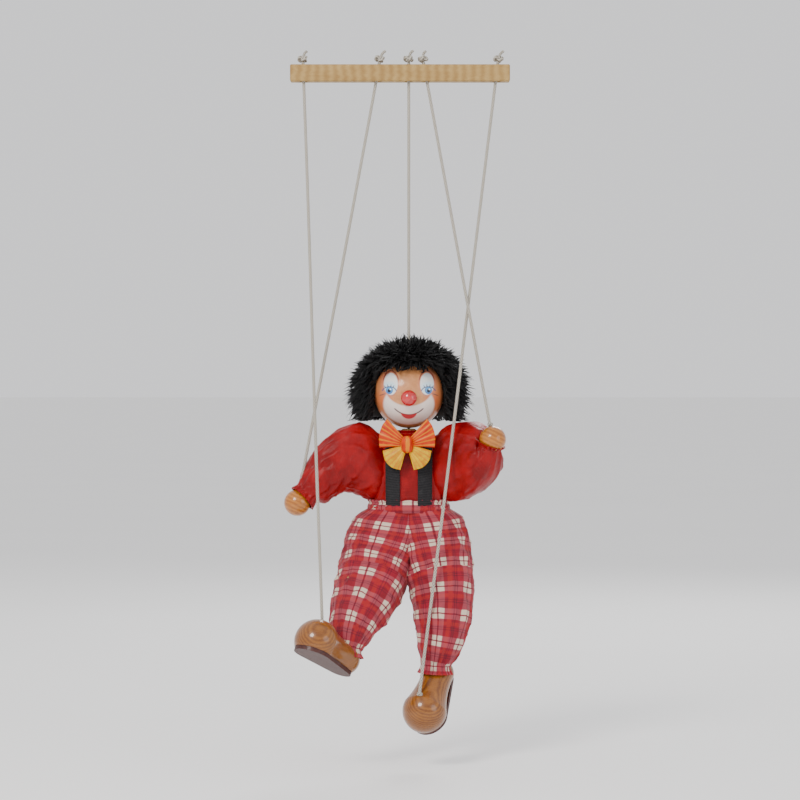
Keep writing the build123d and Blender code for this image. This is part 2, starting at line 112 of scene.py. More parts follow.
class Net:
    """Small helper that adds shader nodes and joins their sockets."""

    def __init__(self, tree):
        self.tree = tree

    def node(self, kind, inputs=(), **settings):
        made = self.tree.nodes.new(kind)
        for key, value in settings.items():
            setattr(made, key, value)
        for key, value in dict(inputs).items():
            self.put(made.inputs[key], value)
        return made

    def put(self, socket, value):
        if isinstance(value, bpy.types.NodeSocket):
            self.tree.links.new(value, socket)
        elif isinstance(value, (tuple, list)) and len(value) == 3 and socket.type == "RGBA":
            socket.default_value = (*value, 1)
        else:
            socket.default_value = value

    def math(self, operation, a, b=0.0, clamp=False):
        return self.node("ShaderNodeMath", {0: a, 1: b}, operation=operation, use_clamp=clamp).outputs[0]

    def vector(self, operation, a, b=(0.0, 0.0, 0.0)):
        made = self.node("ShaderNodeVectorMath", {0: a, 1: b}, operation=operation)
        return made.outputs["Value" if operation in ("LENGTH", "DOT_PRODUCT", "DISTANCE") else "Vector"]

    def position(self):
        return self.node("ShaderNodeTexCoord").outputs["Object"]

    def attribute(self, name):
        return self.node("ShaderNodeAttribute", attribute_name=name)

    def ramp(self, value, low, high, to_low=0.0, to_high=1.0):
        return self.node(
            "ShaderNodeMapRange",
            {"Value": value, "From Min": low, "From Max": high, "To Min": to_low, "To Max": to_high},
            interpolation_type="SMOOTHSTEP",
        ).outputs[0]

    def mix(self, share, a, b, blend="MIX"):
        made = self.node("ShaderNodeMix", data_type="RGBA", blend_type=blend)
        self.put(made.inputs[0], share)
        self.put(made.inputs[6], a)
        self.put(made.inputs[7], b)
        return made.outputs[2]

    def noise(self, where, scale, detail=3.0, roughness=0.5, distortion=0.0):
        return self.node(
            "ShaderNodeTexNoise",
            {
                "Vector": where,
                "Scale": scale,
                "Detail": detail,
                "Roughness": roughness,
                "Distortion": distortion,
            },
        ).outputs["Fac"]

    def bump(self, height, strength, distance, normal=None):
        inputs = {"Height": height, "Strength": strength, "Distance": distance}
        if normal is not None:
            inputs["Normal"] = normal
        return self.node("ShaderNodeBump", inputs).outputs[0]

    def scaled(self, where, scale, rotation=(0.0, 0.0, 0.0)):
        made = self.node("ShaderNodeMapping", {"Vector": where, "Scale": scale, "Rotation": rotation})
        return made.outputs[0]


def wood(name, dark, light, grain_scale, stretch, rotation=(0.0, 0.0, 0.0), roughness=0.5, coat=0.0, bump=0.3):
    """Turned or planed wood: long fibres, growth bands, pores and slight wear."""
    material, tree, shader = new_material(name)
    net = Net(tree)
    where = net.scaled(net.position(), stretch, rotation)
    drift = net.noise(where, grain_scale * 0.35, 2.0, 0.5, 0.6)
    bands = net.node(
        "ShaderNodeTexWave",
        {"Vector": where, "Scale": grain_scale * 0.5, "Distortion": 2.2, "Detail": 2.0, "Detail Scale": 0.8},
        wave_type="BANDS",
        bands_direction="X",
    ).outputs["Fac"]
    fibres = net.noise(where, grain_scale * 5, 5.0, 0.65)
    pores = net.ramp(net.noise(where, grain_scale * 9, 2.0, 0.5), 0.60, 0.72)
    tone = net.math("ADD", net.math("MULTIPLY", bands, 0.22), net.math("MULTIPLY", fibres, 0.42))
    tone = net.math("ADD", tone, net.math("MULTIPLY", drift, 0.35), clamp=True)
    colour = net.mix(net.ramp(tone, 0.20, 0.80), dark, light)
    colour = net.mix(net.math("MULTIPLY", pores, 0.30), colour, tuple(c * 0.55 for c in dark))
    net.put(shader.inputs["Base Color"], colour)
    net.put(shader.inputs["Roughness"], net.ramp(fibres, 0.2, 0.8, roughness * 0.8, roughness * 1.2))
    shader.inputs["Coat Weight"].default_value = coat
    shader.inputs["Coat Roughness"].default_value = 0.07
    shader.inputs["Specular IOR Level"].default_value = 0.28
    height = net.math("SUBTRACT", fibres, net.math("MULTIPLY", pores, 0.7))
    net.put(shader.inputs["Normal"], net.bump(height, bump, 0.00012))
    return material


pale_wood = wood("pale_wood", (0.27, 0.15, 0.042), (0.43, 0.28, 0.10), 120, (1.0, 7.0, 7.0), roughness=0.6)
core_wood = wood("core_wood", (0.30, 0.17, 0.06), (0.45, 0.29, 0.12), 140, (4.0, 4.0, 1.0), roughness=0.6)
hand_wood = wood(
    "hand_wood", (0.26, 0.075, 0.007), (0.50, 0.18, 0.022), 150, (1.0, 1.0, 4.0), (0.3, 0.5, 0.0), 0.30, 0.6, 0.12
)
shoe_wood = wood(
    "shoe_wood", (0.13, 0.036, 0.004), (0.31, 0.112, 0.014), 130, (1.0, 4.5, 4.5), (0.2, 0.6, 0.8), 0.30, 0.6, 0.15
)
# the sole's near-black brown is partly its dark stain and partly painted shade of the unlit underside
sole_stain_and_shade = wood(
    "sole_stain_and_shade", (0.035, 0.008, 0.006), (0.075, 0.020, 0.015), 150, (1.0, 3.5, 3.5), (0.2, 0.6, 0.8), 0.5, 0.1, 0.3
)


def satin(name, base, dark, sheen_tint, roughness=0.36, anisotropy=0.45):
    """Shiny woven cloth: fine threads both ways, soft wear and slow colour drift."""
    material, tree, shader = new_material(name)
    net = Net(tree)
    where = net.position()
    cloth = net.attribute("cloth_uv").outputs["Vector"]
    split = net.node("ShaderNodeSeparateXYZ", {0: cloth})
    across_thread = net.math("SINE", net.math("MULTIPLY", split.outputs[0], TAU / 0.42))
    along_thread = net.math("SINE", net.math("MULTIPLY", split.outputs[1], TAU / 0.42))
    weave = net.math("MULTIPLY", across_thread, along_thread)
    slub = net.noise(net.scaled(cloth, (0.25, 3.0, 1.0)), 1.0, 3.0, 0.6)
    drift = net.noise(where, 90, 4.0, 0.55)
    colour = net.mix(net.ramp(drift, 0.30, 0.72), dark, base)
    colour = net.mix(net.ramp(slub, 0.45, 0.75, 0.0, 0.22), colour, tuple(min(1.0, c * 1.35 + 0.02) for c in base))
    colour = net.mix(net.ramp(weave, -1.0, 1.0, 0.0, 0.14), colour, dark)
    net.put(shader.inputs["Base Color"], colour)
    net.put(shader.inputs["Roughness"], net.ramp(drift, 0.25, 0.75, roughness * 0.85, roughness * 1.25))
    shader.inputs["Anisotropic"].default_value = anisotropy
    shader.inputs["Specular IOR Level"].default_value = 0.22
    shader.inputs["Sheen Weight"].default_value = 0.10
    shader.inputs["Sheen Roughness"].default_value = 0.4
    shader.inputs["Sheen Tint"].default_value = (*sheen_tint, 1)
    crease = net.noise(where, 260, 4.0, 0.6, 0.8)
    soft = net.bump(crease, 0.30, 0.0006)
    net.put(shader.inputs["Normal"], net.bump(weave, 0.16, 0.00008, soft))
    return material


red_satin = satin("red_satin", (0.32, 0.0012, 0.003), (0.17, 0.0006, 0.002), (1.0, 0.2, 0.2))


def ribbon(name, low, high, stripe, share):
    """Pleated satin ribbon: two tones in bands that follow the pleats, painted light on the ridges and painted shade in
    the folds, with fine threads.
    """
    material, tree, shader = new_material(name)
    net = Net(tree)
    cloth = net.attribute("cloth_uv").outputs["Vector"]
    split = net.node("ShaderNodeSeparateXYZ", {0: cloth})
    drift = net.noise(net.position(), 240, 4.0, 0.6)
    wander = net.math("MULTIPLY", net.math("SUBTRACT", drift, 0.5), 2.2)
    pleat = net.math("SINE", net.math("ADD", net.math("MULTIPLY", split.outputs[0], TAU / 5.2), wander))
    colour = net.mix(net.ramp(drift, 0.3, 0.7), low, high)
    # painted light and shade: the stripe colour is laid along the pleats, lighter on the ridges and darker in the folds
    colour = net.mix(net.ramp(pleat, 0.1, 0.9, 0.0, share), colour, stripe)
    threads = net.math("SINE", net.math("MULTIPLY", split.outputs[1], TAU / 0.42))
    colour = net.mix(net.ramp(threads, -1.0, 1.0, 0.0, 0.16), colour, low)
    net.put(shader.inputs["Base Color"], colour)
    net.put(shader.inputs["Roughness"], net.ramp(drift, 0.25, 0.75, 0.28, 0.42))
    shader.inputs["Anisotropic"].default_value = 0.4
    shader.inputs["Specular IOR Level"].default_value = 0.2
    crease = net.bump(net.noise(net.position(), 420, 4.0, 0.6, 0.6), 0.30, 0.0005)
    net.put(shader.inputs["Normal"], net.bump(threads, 0.16, 0.00008, crease))
    return material


# the third colour of each ribbon is painted on its pleats: a lighter yellow as painted highlight on the orange ribbon,
# a darker orange as painted shade on the yellow ribbon
orange_satin = ribbon("orange_satin", (0.42, 0.016, 0.001), (0.60, 0.050, 0.002), (0.68, 0.24, 0.003), 0.75)
yellow_satin = ribbon("yellow_satin", (0.52, 0.22, 0.002), (0.70, 0.46, 0.005), (0.56, 0.08, 0.002), 0.50)


def tartan(name):
    """Brushed cotton check: crimson ground, red and cream bands, thin dark lines, twill threads."""
    material, tree, shader = new_material(name)
    net = Net(tree)
    split = net.node("ShaderNodeSeparateXYZ", {0: net.attribute("cloth_uv").outputs["Vector"]})
    repeat = 13.5

    def bands(value, offset):
        place = net.math("FRACT", net.math("ADD", net.math("DIVIDE", value, repeat), offset))
        soft = 0.025

        def stripe(middle, half):
            away = net.math("ABSOLUTE", net.math("SUBTRACT", place, middle))
            return net.ramp(away, half - soft / 2, half + soft / 2, 1.0, 0.0)

        light = net.math("MAXIMUM", stripe(0.19, 0.085), stripe(0.41, 0.085))
        dark = net.math("MAXIMUM", stripe(0.30, 0.018), stripe(0.80, 0.016))
        dark = net.math("MAXIMUM", dark, stripe(0.88, 0.016))
        rosy = stripe(0.66, 0.065)
        return light, dark, rosy

    light_u, dark_u, rosy_u = bands(split.outputs[0], 0.05)
    light_v, dark_v, rosy_v = bands(split.outputs[1], 0.30)
    drift = net.noise(net.position(), 130, 4.0, 0.6)
    ground = net.mix(net.ramp(drift, 0.3, 0.7), (0.20, 0.0025, 0.012), (0.31, 0.006, 0.022))
    colour = net.mix(net.math("MULTIPLY", net.math("MAXIMUM", rosy_u, rosy_v), 0.55), ground, (0.42, 0.016, 0.012))
    half_light = net.math("MULTIPLY", net.math("ADD", light_u, light_v), 0.28)
    colour = net.mix(half_light, colour, (0.52, 0.16, 0.19))
    both = net.math("MULTIPLY", light_u, light_v)
    colour = net.mix(net.math("MULTIPLY", both, 0.92), colour, (0.68, 0.57, 0.44))
    lines = net.math("MULTIPLY", net.math("ADD", dark_u, dark_v), 0.42)
    colour = net.mix(lines, colour, (0.035, 0.004, 0.016))
    slant = net.math("ADD", split.outputs[0], split.outputs[1])
    twill = net.math("SINE", net.math("MULTIPLY", slant, TAU / 0.55))
    threads = net.math("SINE", net.math("MULTIPLY", split.outputs[1], TAU / 0.40))
    weave = net.math("ADD", net.math("MULTIPLY", twill, 0.6), net.math("MULTIPLY", threads, 0.4))
    colour = net.mix(net.ramp(weave, -1.0, 1.0, 0.0, 0.20), colour, (0.06, 0.002, 0.008))
    net.put(shader.inputs["Base Color"], colour)
    net.put(shader.inputs["Roughness"], net.ramp(drift, 0.2, 0.8, 0.62, 0.85))
    shader.inputs["Specular IOR Level"].default_value = 0.25
    shader.inputs["Sheen Weight"].default_value = 0.06
    shader.inputs["Sheen Roughness"].default_value = 0.55
    fuzz = net.bump(net.noise(net.position(), 900, 3.0, 0.6), 0.25, 0.0003)
    net.put(shader.inputs["Normal"], net.bump(weave, 0.35, 0.00012, fuzz))
    return material


tartan_cloth = tartan("tartan_cloth")


def elastic(name):
    """Black elastic band: ribs across it and a fine edge."""
    material, tree, shader = new_material(name)
    net = Net(tree)
    split = net.node("ShaderNodeSeparateXYZ", {0: net.attribute("cloth_uv").outputs["Vector"]})
    ribs = net.math("SINE", net.math("MULTIPLY", split.outputs[1], TAU / 0.9))
    lines = net.math("SINE", net.math("MULTIPLY", split.outputs[0], TAU / 0.65))
    weave = net.math("ADD", ribs, net.math("MULTIPLY", lines, 0.5))
    drift = net.noise(net.position(), 400, 3.0, 0.6)
    colour = net.mix(net.ramp(weave, -1.2, 1.2), (0.006, 0.006, 0.007), (0.022, 0.021, 0.023))
    colour = net.mix(net.ramp(drift, 0.5, 0.8, 0.0, 0.35), colour, (0.045, 0.043, 0.045))
    net.put(shader.inputs["Base Color"], colour)
    shader.inputs["Roughness"].default_value = 0.75
    shader.inputs["Specular IOR Level"].default_value = 0.2
    shader.inputs["Sheen Weight"].default_value = 0.03
    net.put(shader.inputs["Normal"], net.bump(weave, 0.5, 0.0002))
    return material


black_elastic = elastic("black_elastic")


def fur(name):
    material, tree, shader = new_material(name)
    net = Net(tree)
    where = net.position()
    strands = net.noise(net.scaled(where, (1.0, 1.0, 0.3)), 1400, 3.0, 0.6)
    patches = net.noise(where, 60, 3.0, 0.5)
    colour = net.mix(net.ramp(strands, 0.3, 0.75), (0.002, 0.002, 0.0025), (0.010, 0.0095, 0.010))
    colour = net.mix(net.ramp(patches, 0.45, 0.75, 0.0, 0.5), colour, (0.014, 0.012, 0.012))
    net.put(shader.inputs["Base Color"], colour)
    net.put(shader.inputs["Roughness"], net.ramp(strands, 0.2, 0.8, 0.42, 0.65))
    shader.inputs["Specular IOR Level"].default_value = 0.3
    net.put(shader.inputs["Normal"], net.bump(strands, 0.5, 0.0003))
    return material


black_fur = fur("black_fur")


def braid(name, base, dark):
    material, tree, shader = new_material(name)
    net = Net(tree)
    split = net.node("ShaderNodeSeparateXYZ", {0: net.attribute("cloth_uv").outputs["Vector"]})
    turns = 4.0
    around = net.math("MULTIPLY", split.outputs[0], TAU * turns)
    along = net.math("MULTIPLY", split.outputs[1], TAU / 1.9)
    one = net.math("SINE", net.math("ADD", around, along))
    other = net.math("SINE", net.math("SUBTRACT", around, along))
    strands = net.math("MAXIMUM", one, other)
    drift = net.noise(net.position(), 500, 3.0, 0.6)
    # painted shade: the cord darkens in the grooves between the strands
    colour = net.mix(net.ramp(strands, -0.2, 0.9), dark, base)
    colour = net.mix(net.ramp(drift, 0.4, 0.75, 0.0, 0.25), colour, tuple(c * 0.72 for c in base))
    net.put(shader.inputs["Base Color"], colour)
    shader.inputs["Roughness"].default_value = 0.8
    shader.inputs["Sheen Weight"].default_value = 0.25
    net.put(shader.inputs["Normal"], net.bump(strands, 0.6, 0.0002))
    return material


# the second colour is the painted shade in the grooves between the strands
cotton = braid("cotton", (0.50, 0.46, 0.39), (0.17, 0.15, 0.12))


def steel(name):
    material, tree, shader = new_material(name)
    net = Net(tree)
    scratch = net.noise(net.scaled(net.position(), (1.0, 1.0, 6.0)), 700, 3.0, 0.6)
    net.put(shader.inputs["Base Color"], net.mix(scratch, (0.42, 0.42, 0.43), (0.62, 0.62, 0.62)))
    net.put(shader.inputs["Roughness"], net.ramp(scratch, 0.2, 0.8, 0.22, 0.40))
    shader.inputs["Metallic"].default_value = 1.0
    return material


pin_steel = steel("pin_steel")


def gloss_red(name):
    material, tree, shader = new_material(name)
    net = Net(tree)
    drift = net.noise(net.position(), 300, 3.0, 0.5)
    net.put(shader.inputs["Base Color"], net.mix(net.ramp(drift, 0.3, 0.7), (0.40, 0.003, 0.005), (0.54, 0.006, 0.008)))
    net.put(shader.inputs["Roughness"], net.ramp(drift, 0.2, 0.8, 0.22, 0.32))
    shader.inputs["Coat Weight"].default_value = 1.0
    shader.inputs["Coat Roughness"].default_value = 0.04
    net.put(shader.inputs["Normal"], net.bump(net.noise(net.position(), 900, 2.0, 0.5), 0.06, 0.0001))
    return material


nose_paint = gloss_red("nose_paint")


# ---------------------------------------------------------------- painted face
def face_paint(name, centre, radius):
    """A clown face painted on a turned wooden ball. Shapes are set out in millimetres on the front view."""
    material, tree, shader = new_material(name)
    net = Net(tree)
    where = net.node(
        "ShaderNodeMapping",
        {
            "Vector": net.position(),
            "Scale": (1 / MM, 1 / MM, 1 / MM),
            "Location": tuple(-centre),
        },
    ).outputs[0]
    split = net.node("ShaderNodeSeparateXYZ", {0: where})
    x_signed, depth, z = split.outputs[0], split.outputs[1], split.outputs[2]
    x = net.math("ABSOLUTE", x_signed)
    front = net.ramp(depth, -6.0, -2.0, 1.0, 0.0)
    wobble = net.noise(where, 0.35, 3.0, 0.6)

    def oval(px, pz, cx, cz, rx, rz, soft=0.06, turn=0.0):
        dx, dz = net.math("SUBTRACT", px, cx), net.math("SUBTRACT", pz, cz)
        if turn:
            c, s = math.cos(turn), math.sin(turn)
            dx, dz = (
                net.math("ADD", net.math("MULTIPLY", dx, c), net.math("MULTIPLY", dz, s)),
                net.math("SUBTRACT", net.math("MULTIPLY", dz, c), net.math("MULTIPLY", dx, s)),
            )
        dx, dz = net.math("DIVIDE", dx, rx), net.math("DIVIDE", dz, rz)
        squares = net.math("ADD", net.math("MULTIPLY", dx, dx), net.math("MULTIPLY", dz, dz))
        return net.math("SQRT", squares)

    def inside(distance, soft=0.05):
        return net.math("MULTIPLY", net.ramp(distance, 1 - soft, 1 + soft, 1.0, 0.0), front)

    def ring(distance, half, soft=0.03):
        away = net.math("ABSOLUTE", net.math("SUBTRACT", distance, 1.0))
        return net.math("MULTIPLY", net.ramp(away, half - soft, half + soft, 1.0, 0.0), front)

    def both(*masks):
        made = masks[0]
        for mask in masks[1:]:
            made = net.math("MULTIPLY", made, mask)
        return made

    def above(value, level, soft=0.25):
        return net.ramp(value, level - soft, level + soft)

    def below(value, level, soft=0.25):
        return net.ramp(value, level - soft, level + soft, 1.0, 0.0)

    skin = net.mix(net.ramp(wobble, 0.3, 0.7), (0.50, 0.20, 0.075), (0.58, 0.26, 0.105))
    # painted shade: the skin darkens towards the ball's edge, where it turns away from the front
    rim = net.ramp(net.vector("LENGTH", net.node("ShaderNodeCombineXYZ", {0: x, 2: z}).outputs[0]), 12.5, 20.0)
    skin = net.mix(net.math("MULTIPLY", rim, 0.6), skin, (0.46, 0.13, 0.045))
    cheek = net.ramp(oval(x, z, 13.6, -3.5, 6.0, 7.0), 0.1, 1.15, 1.0, 0.0)
    colour = net.mix(net.math("MULTIPLY", net.math("MULTIPLY", cheek, front), 0.75), skin, (0.62, 0.12, 0.035))

    # pink glow round each eye, then the white of the eye patch
    glow = net.ramp(oval(x, z, 10.6, 6.0, 6.0, 8.4), 0.62, 1.1, 1.0, 0.0)
    colour = net.mix(net.math("MULTIPLY", net.math("MULTIPLY", glow, front), 0.55), colour, (0.60, 0.18, 0.12))
    patch = oval(x, z, 10.2, 5.2, 3.9, 6.2)
    colour = net.mix(inside(patch, 0.05), colour, (0.76, 0.75, 0.72))
    grey = both(inside(patch), net.ramp(oval(x, z, 9.4, 3.6, 3.4, 6.4), 0.75, 1.25))
    colour = net.mix(net.math("MULTIPLY", grey, 0.35), colour, (0.62, 0.60, 0.66))

    # eyelid line, iris, pupil, catch light and lashes
    blue = both(inside(oval(x, z, 10.9, 3.1, 3.9, 3.3), 0.25), inside(patch, 0.12))
    colour = net.mix(net.math("MULTIPLY", blue, 0.55), colour, (0.42, 0.66, 0.80))
    iris = oval(x, z, 11.0, 1.5, 2.05, 2.15)
    colour = net.mix(inside(iris, 0.10), colour, (0.05, 0.16, 0.42))
    inner = oval(x, z, 11.0, 1.9, 1.45, 1.5)
    colour = net.mix(net.math("MULTIPLY", inside(inner, 0.35), 0.75), colour, (0.12, 0.36, 0.62))
    colour = net.mix(inside(oval(x, z, 11.1, 1.3, 0.95, 1.0), 0.15), colour, (0.01, 0.012, 0.03))
    colour = net.mix(inside(oval(x_signed, z, 11.6, 2.1, 0.42, 0.42), 0.2), colour, (0.95, 0.95, 0.95))
    colour = net.mix(inside(oval(x_signed, z, -10.4, 2.1, 0.42, 0.42), 0.2), colour, (0.95, 0.95, 0.95))
    lid = both(ring(oval(x, z, 11.0, 0.6, 4.0, 3.0), 0.085), above(z, 1.2))
    colour = net.mix(net.math("MULTIPLY", lid, 0.9), colour, (0.03, 0.05, 0.16))
    under = both(ring(oval(x, z, 11.0, 1.2, 3.6, 2.9), 0.045), below(z, -0.1))
    colour = net.mix(net.math("MULTIPLY", under, 0.65), colour, (0.20, 0.15, 0.20))
    for angle in (-0.55, -0.2, 0.2, 0.6):
        lash_x = 11.0 + 4.3 * math.sin(angle)
        lash_z = 0.6 + 3.5 * math.cos(angle)
        lash = inside(oval(x, z, lash_x, lash_z, 0.26, 0.95, turn=-angle), 0.25)
        colour = net.mix(net.math("MULTIPLY", lash, 0.85), colour, (0.03, 0.04, 0.12))
    corner = inside(oval(x, z, 15.0, -0.9, 1.7, 0.30, turn=-0.35), 0.3)
    colour = net.mix(net.math("MULTIPLY", corner, 0.8), colour, (0.10, 0.06, 0.06))

    # brow line over the patch
    brow = both(ring(oval(x, z, 10.1, 5.4, 4.45, 7.1), 0.050), above(z, 7.2, 0.8))
    colour = net.mix(net.math("MULTIPLY", brow, 0.85), colour, (0.16, 0.03, 0.03))

    # white muzzle, smile line and lower lip
    muzzle = both(
        inside(oval(x, z, 0.0, -6.4, 14.4, 11.4), 0.05),
        net.ramp(oval(x, z, 0.0, 2.9, 13.4, 10.3), 0.94, 1.04),
    )
    colour = net.mix(net.math("MULTIPLY", muzzle, 0.95), colour, (0.76, 0.66, 0.60))
    # the muzzle turns darker and warmer towards its bottom
    lower_muzzle_tint = both(muzzle, net.ramp(oval(x, z, 0.0, -14.5, 9.0, 4.5), 0.4, 1.2, 1.0, 0.0))
    colour = net.mix(net.math("MULTIPLY", lower_muzzle_tint, 0.30), colour, (0.68, 0.33, 0.24))
    smile = both(ring(oval(x, z, 0.0, -3.0, 10.2, 9.2), 0.034, 0.022), below(z, -8.6, 0.3), below(x, 9.6, 0.5))
    colour = net.mix(net.math("MULTIPLY", smile, 0.95), colour, (0.05, 0.02, 0.03))
    lip = both(
        inside(oval(x, z, 0.0, -10.6, 4.6, 4.0), 0.06),
        net.ramp(oval(x, z, 0.0, -3.0, 10.2, 9.2), 0.985, 1.015),
    )
    colour = net.mix(net.math("MULTIPLY", lip, 0.95), colour, (0.45, 0.008, 0.02))
    net.put(shader.inputs["Base Color"], colour)
    net.put(shader.inputs["Roughness"], net.ramp(wobble, 0.2, 0.8, 0.34, 0.46))
    shader.inputs["Coat Weight"].default_value = 0.35
    shader.inputs["Specular IOR Level"].default_value = 0.3
    shader.inputs["Coat Roughness"].default_value = 0.12
    painted = net.math("MAXIMUM", inside(patch, 0.05), net.math("MAXIMUM", muzzle, lip))
    fine = net.noise(where, 1.6, 4.0, 0.6)
    height = net.math("ADD", painted, net.math("MULTIPLY", fine, 0.35))
    net.put(shader.inputs["Normal"], net.bump(height, 0.22, 0.00006))
    return material


# ---------------------------------------------------------------- mesh making
def make_mesh(name, points, faces, material, body=None, uv=None, shade=True, nodes=(), slot=None):
    """A mesh object from points in millimetres. uv is the cloth's own coordinates, in millimetres."""
    data = bpy.data.meshes.new(name)
    data.from_pydata((np.asarray(points) * MM).tolist(), [], [list(map(int, f)) for f in faces])
    data.validate()
    if uv is not None:
        attribute = data.attributes.new("cloth_uv", "FLOAT_VECTOR", "POINT")
        flat = np.zeros((len(points), 3), np.float32)
        flat[:, :2] = uv
        attribute.data.foreach_set("vector", flat.ravel())
    data.materials.append(material)
    if shade:
        data.polygons.foreach_set("use_smooth", [True] * len(data.polygons))
    data.update()
    made = bpy.data.objects.new(name, data)
    scene.collection.objects.link(made)
    if body:
        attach(made, body)
    if nodes:
        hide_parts(*nodes)
    return made


def grid_faces(rows, cols, close_rows=False, close_cols=True, start=0):
    faces = []
    for i in range(rows if close_rows else rows - 1):
        for j in range(cols if close_cols else cols - 1):
            a = start + i * cols + j
            b = start + i * cols + (j + 1) % cols
            c = start + ((i + 1) % rows) * cols + (j + 1) % cols
            d = start + ((i + 1) % rows) * cols + j
            faces.append((a, b, c, d))
    return faces


def waves(seed, count, low, high):
    """Seeded sum of slanted sine folds, as a function of an angle and a length."""
    rng = np.random.default_rng(seed)
    terms = [
        (
            int(rng.integers(low, high + 1)),
            rng.uniform(-0.32, 0.32),
            rng.uniform(0, TAU),
            rng.uniform(0.5, 1.0),
        )
        for _ in range(count)
    ]

    def value(angle, along):
        total = 0
        for turns, slant, phase, weight in terms:
            s = np.sin(turns * angle + slant * along + phase)
            total = total + weight * (1 - 1.6 * np.abs(s) ** 0.8)
        return total / count

    return value


def cloth_tube(name, outer, thickness, material, uv_scale=1.0, uv_start=0.0, **options):
    """A closed cloth tube: rows of points outside, an inner skin a thickness in, and rims at both ends."""
    outer = np.asarray(outer, float)
    rows, cols, _ = outer.shape
    centre = outer.mean(axis=1, keepdims=True)
    away = outer - centre
    length = np.linalg.norm(away, axis=2, keepdims=True)
    inner = centre + away * np.clip(1 - thickness / length, 0.05, 1)
    points = np.concatenate([outer, inner[::-1]]).reshape(-1, 3)
    faces = grid_faces(2 * rows, cols, close_rows=True)
    mean_radius = length.mean()
    around = np.linspace(0, TAU * mean_radius * uv_scale, cols, endpoint=False)
    step = np.linalg.norm(np.diff(centre[:, 0], axis=0), axis=1)
    along = uv_start + np.concatenate([[0], np.cumsum(step)])
    uv = np.stack(np.broadcast_arrays(around[None, :], along[:, None]), axis=2)
    uv = np.concatenate([uv, uv[::-1]]).reshape(-1, 2)
    made = make_mesh(name, points, faces, material, uv=uv, **options)
    ends = np.zeros(2 * len(made.data.edges), int)
    made.data.edges.foreach_get("vertices", ends)
    row = ends.reshape(-1, 2) // cols
    rim = np.isin(row[:, 0], (0, rows - 1, rows, 2 * rows - 1)) & (row[:, 0] == row[:, 1])
    made.data.attributes.new("sharp_edge", "BOOLEAN", "EDGE").data.foreach_set("value", rim)
    return made


def catmull(points, count):
    """A smooth line through points, sampled evenly by parameter."""
    p = np.asarray(points, float)
    ends = np.concatenate([[2 * p[0] - p[1]], p, [2 * p[-1] - p[-2]]])
    t = np.linspace(0, len(p) - 1, count)
    k = np.minimum(t.astype(int), len(p) - 2)
    f = (t - k).reshape(-1, *([1] * (p.ndim - 1)))
    a, b, c, d = ends[k], ends[k + 1], ends[k + 2], ends[k + 3]
    return 0.5 * (2 * b + (c - a) * f + (2 * a - 5 * b + 4 * c - d) * f**2 + (3 * b - a - 3 * c + d) * f**3)


def bend_pair(first, second, ring, ahead):
    """Bakes the placing of two cloth pieces that share one ring into their meshes; neither piece is bent."""
    middle = ring.mean(axis=0)
    way = unit(np.cross(ring[0] - middle, ring[len(ring) // 4] - middle))
    way = way * np.sign(way @ ahead)
    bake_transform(first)
    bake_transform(second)


# ---------------------------------------------------------------- strings
string_radius = 0.9
routes = {
    "head_string": [(5, 0, -226.55), (5, 0, -214), (5, 0, -140), (5, 0, -40), (5, 0, -6), (5, 0, 8.95)],
    "right_hand_string": [
        (-56.61, -13.56, -236.64), (-54.63, -12.95, -225.5), (-40.0, -8.4, -148.9),
        (-22.2, -2.87, -51.9), (-13.6, -0.18, -5.0), (-11.35, 0.51, 8.95),
    ],
    "left_hand_string": [
        (50.65, -23.14, -200.6), (48.6, -21.9, -189.6), (38.5, -15.3, -134.0),
        (24.2, -6.2, -53.9), (15.4, -0.6, -4.9), (12.9, 1.0, 8.95),
    ],
    "right_foot_string": [
        (-42.91, -48.35, -309.3), (-43.35, -46.5, -298.0), (-47.2, -31.2, -207.9),
        (-51.9, -12.3, -74.4), (-54.8, -0.75, -5.5), (-55.35, 1.4, 8.95),
    ],
    "left_foot_string": [
        (10.68, -35.49, -350.6), (12.1, -34.36, -338.9), (26.0, -23.2, -234.2),
        (42.6, -9.9, -99.4), (54.4, -0.5, -4.9), (56.13, 0.91, 8.95),
    ],
}


def read_route(route, name):
    """A NURBS line with the route as its control points, and the points Blender draws it with."""
    data = bpy.data.curves.new(name, "CURVE")
    data.dimensions = "3D"
    data.resolution_u = 24
    spline = data.splines.new("NURBS")
    spline.points.add(len(route) - 1)
    for point, place in zip(spline.points, route):
        point.co = (*(c * MM for c in place), 1)
    spline.order_u = 3
    spline.use_endpoint_u = True
    holder = bpy.data.objects.new(name, data)
    scene.collection.objects.link(holder)
    bpy.context.view_layer.update()
    mesh = bpy.data.meshes.new_from_object(holder.evaluated_get(bpy.context.evaluated_depsgraph_get()))
    line = np.array([v.co for v in mesh.vertices], float) / MM
    bpy.data.objects.remove(holder)
    bpy.data.meshes.remove(mesh)
    return line


def resample(line, step):
    gaps = np.linalg.norm(np.diff(line, axis=0), axis=1)
    reach = np.concatenate([[0], np.cumsum(gaps)])
    count = max(3, int(reach[-1] / step))
    at = np.linspace(0, reach[-1], count)
    return np.stack([np.interp(at, reach, line[:, k]) for k in range(3)], axis=1), at


def line_frames(line):
    tangent = unit(np.gradient(line, axis=0))
    side = np.cross(tangent[0], [0.3, 1.0, 0.2])
    sides = []
    for t in tangent:
        side = side - t * (side @ t)
        side = side / np.linalg.norm(side)
        sides.append(side)
    sides = np.array(sides)
    return tangent, sides, np.cross(tangent, sides)


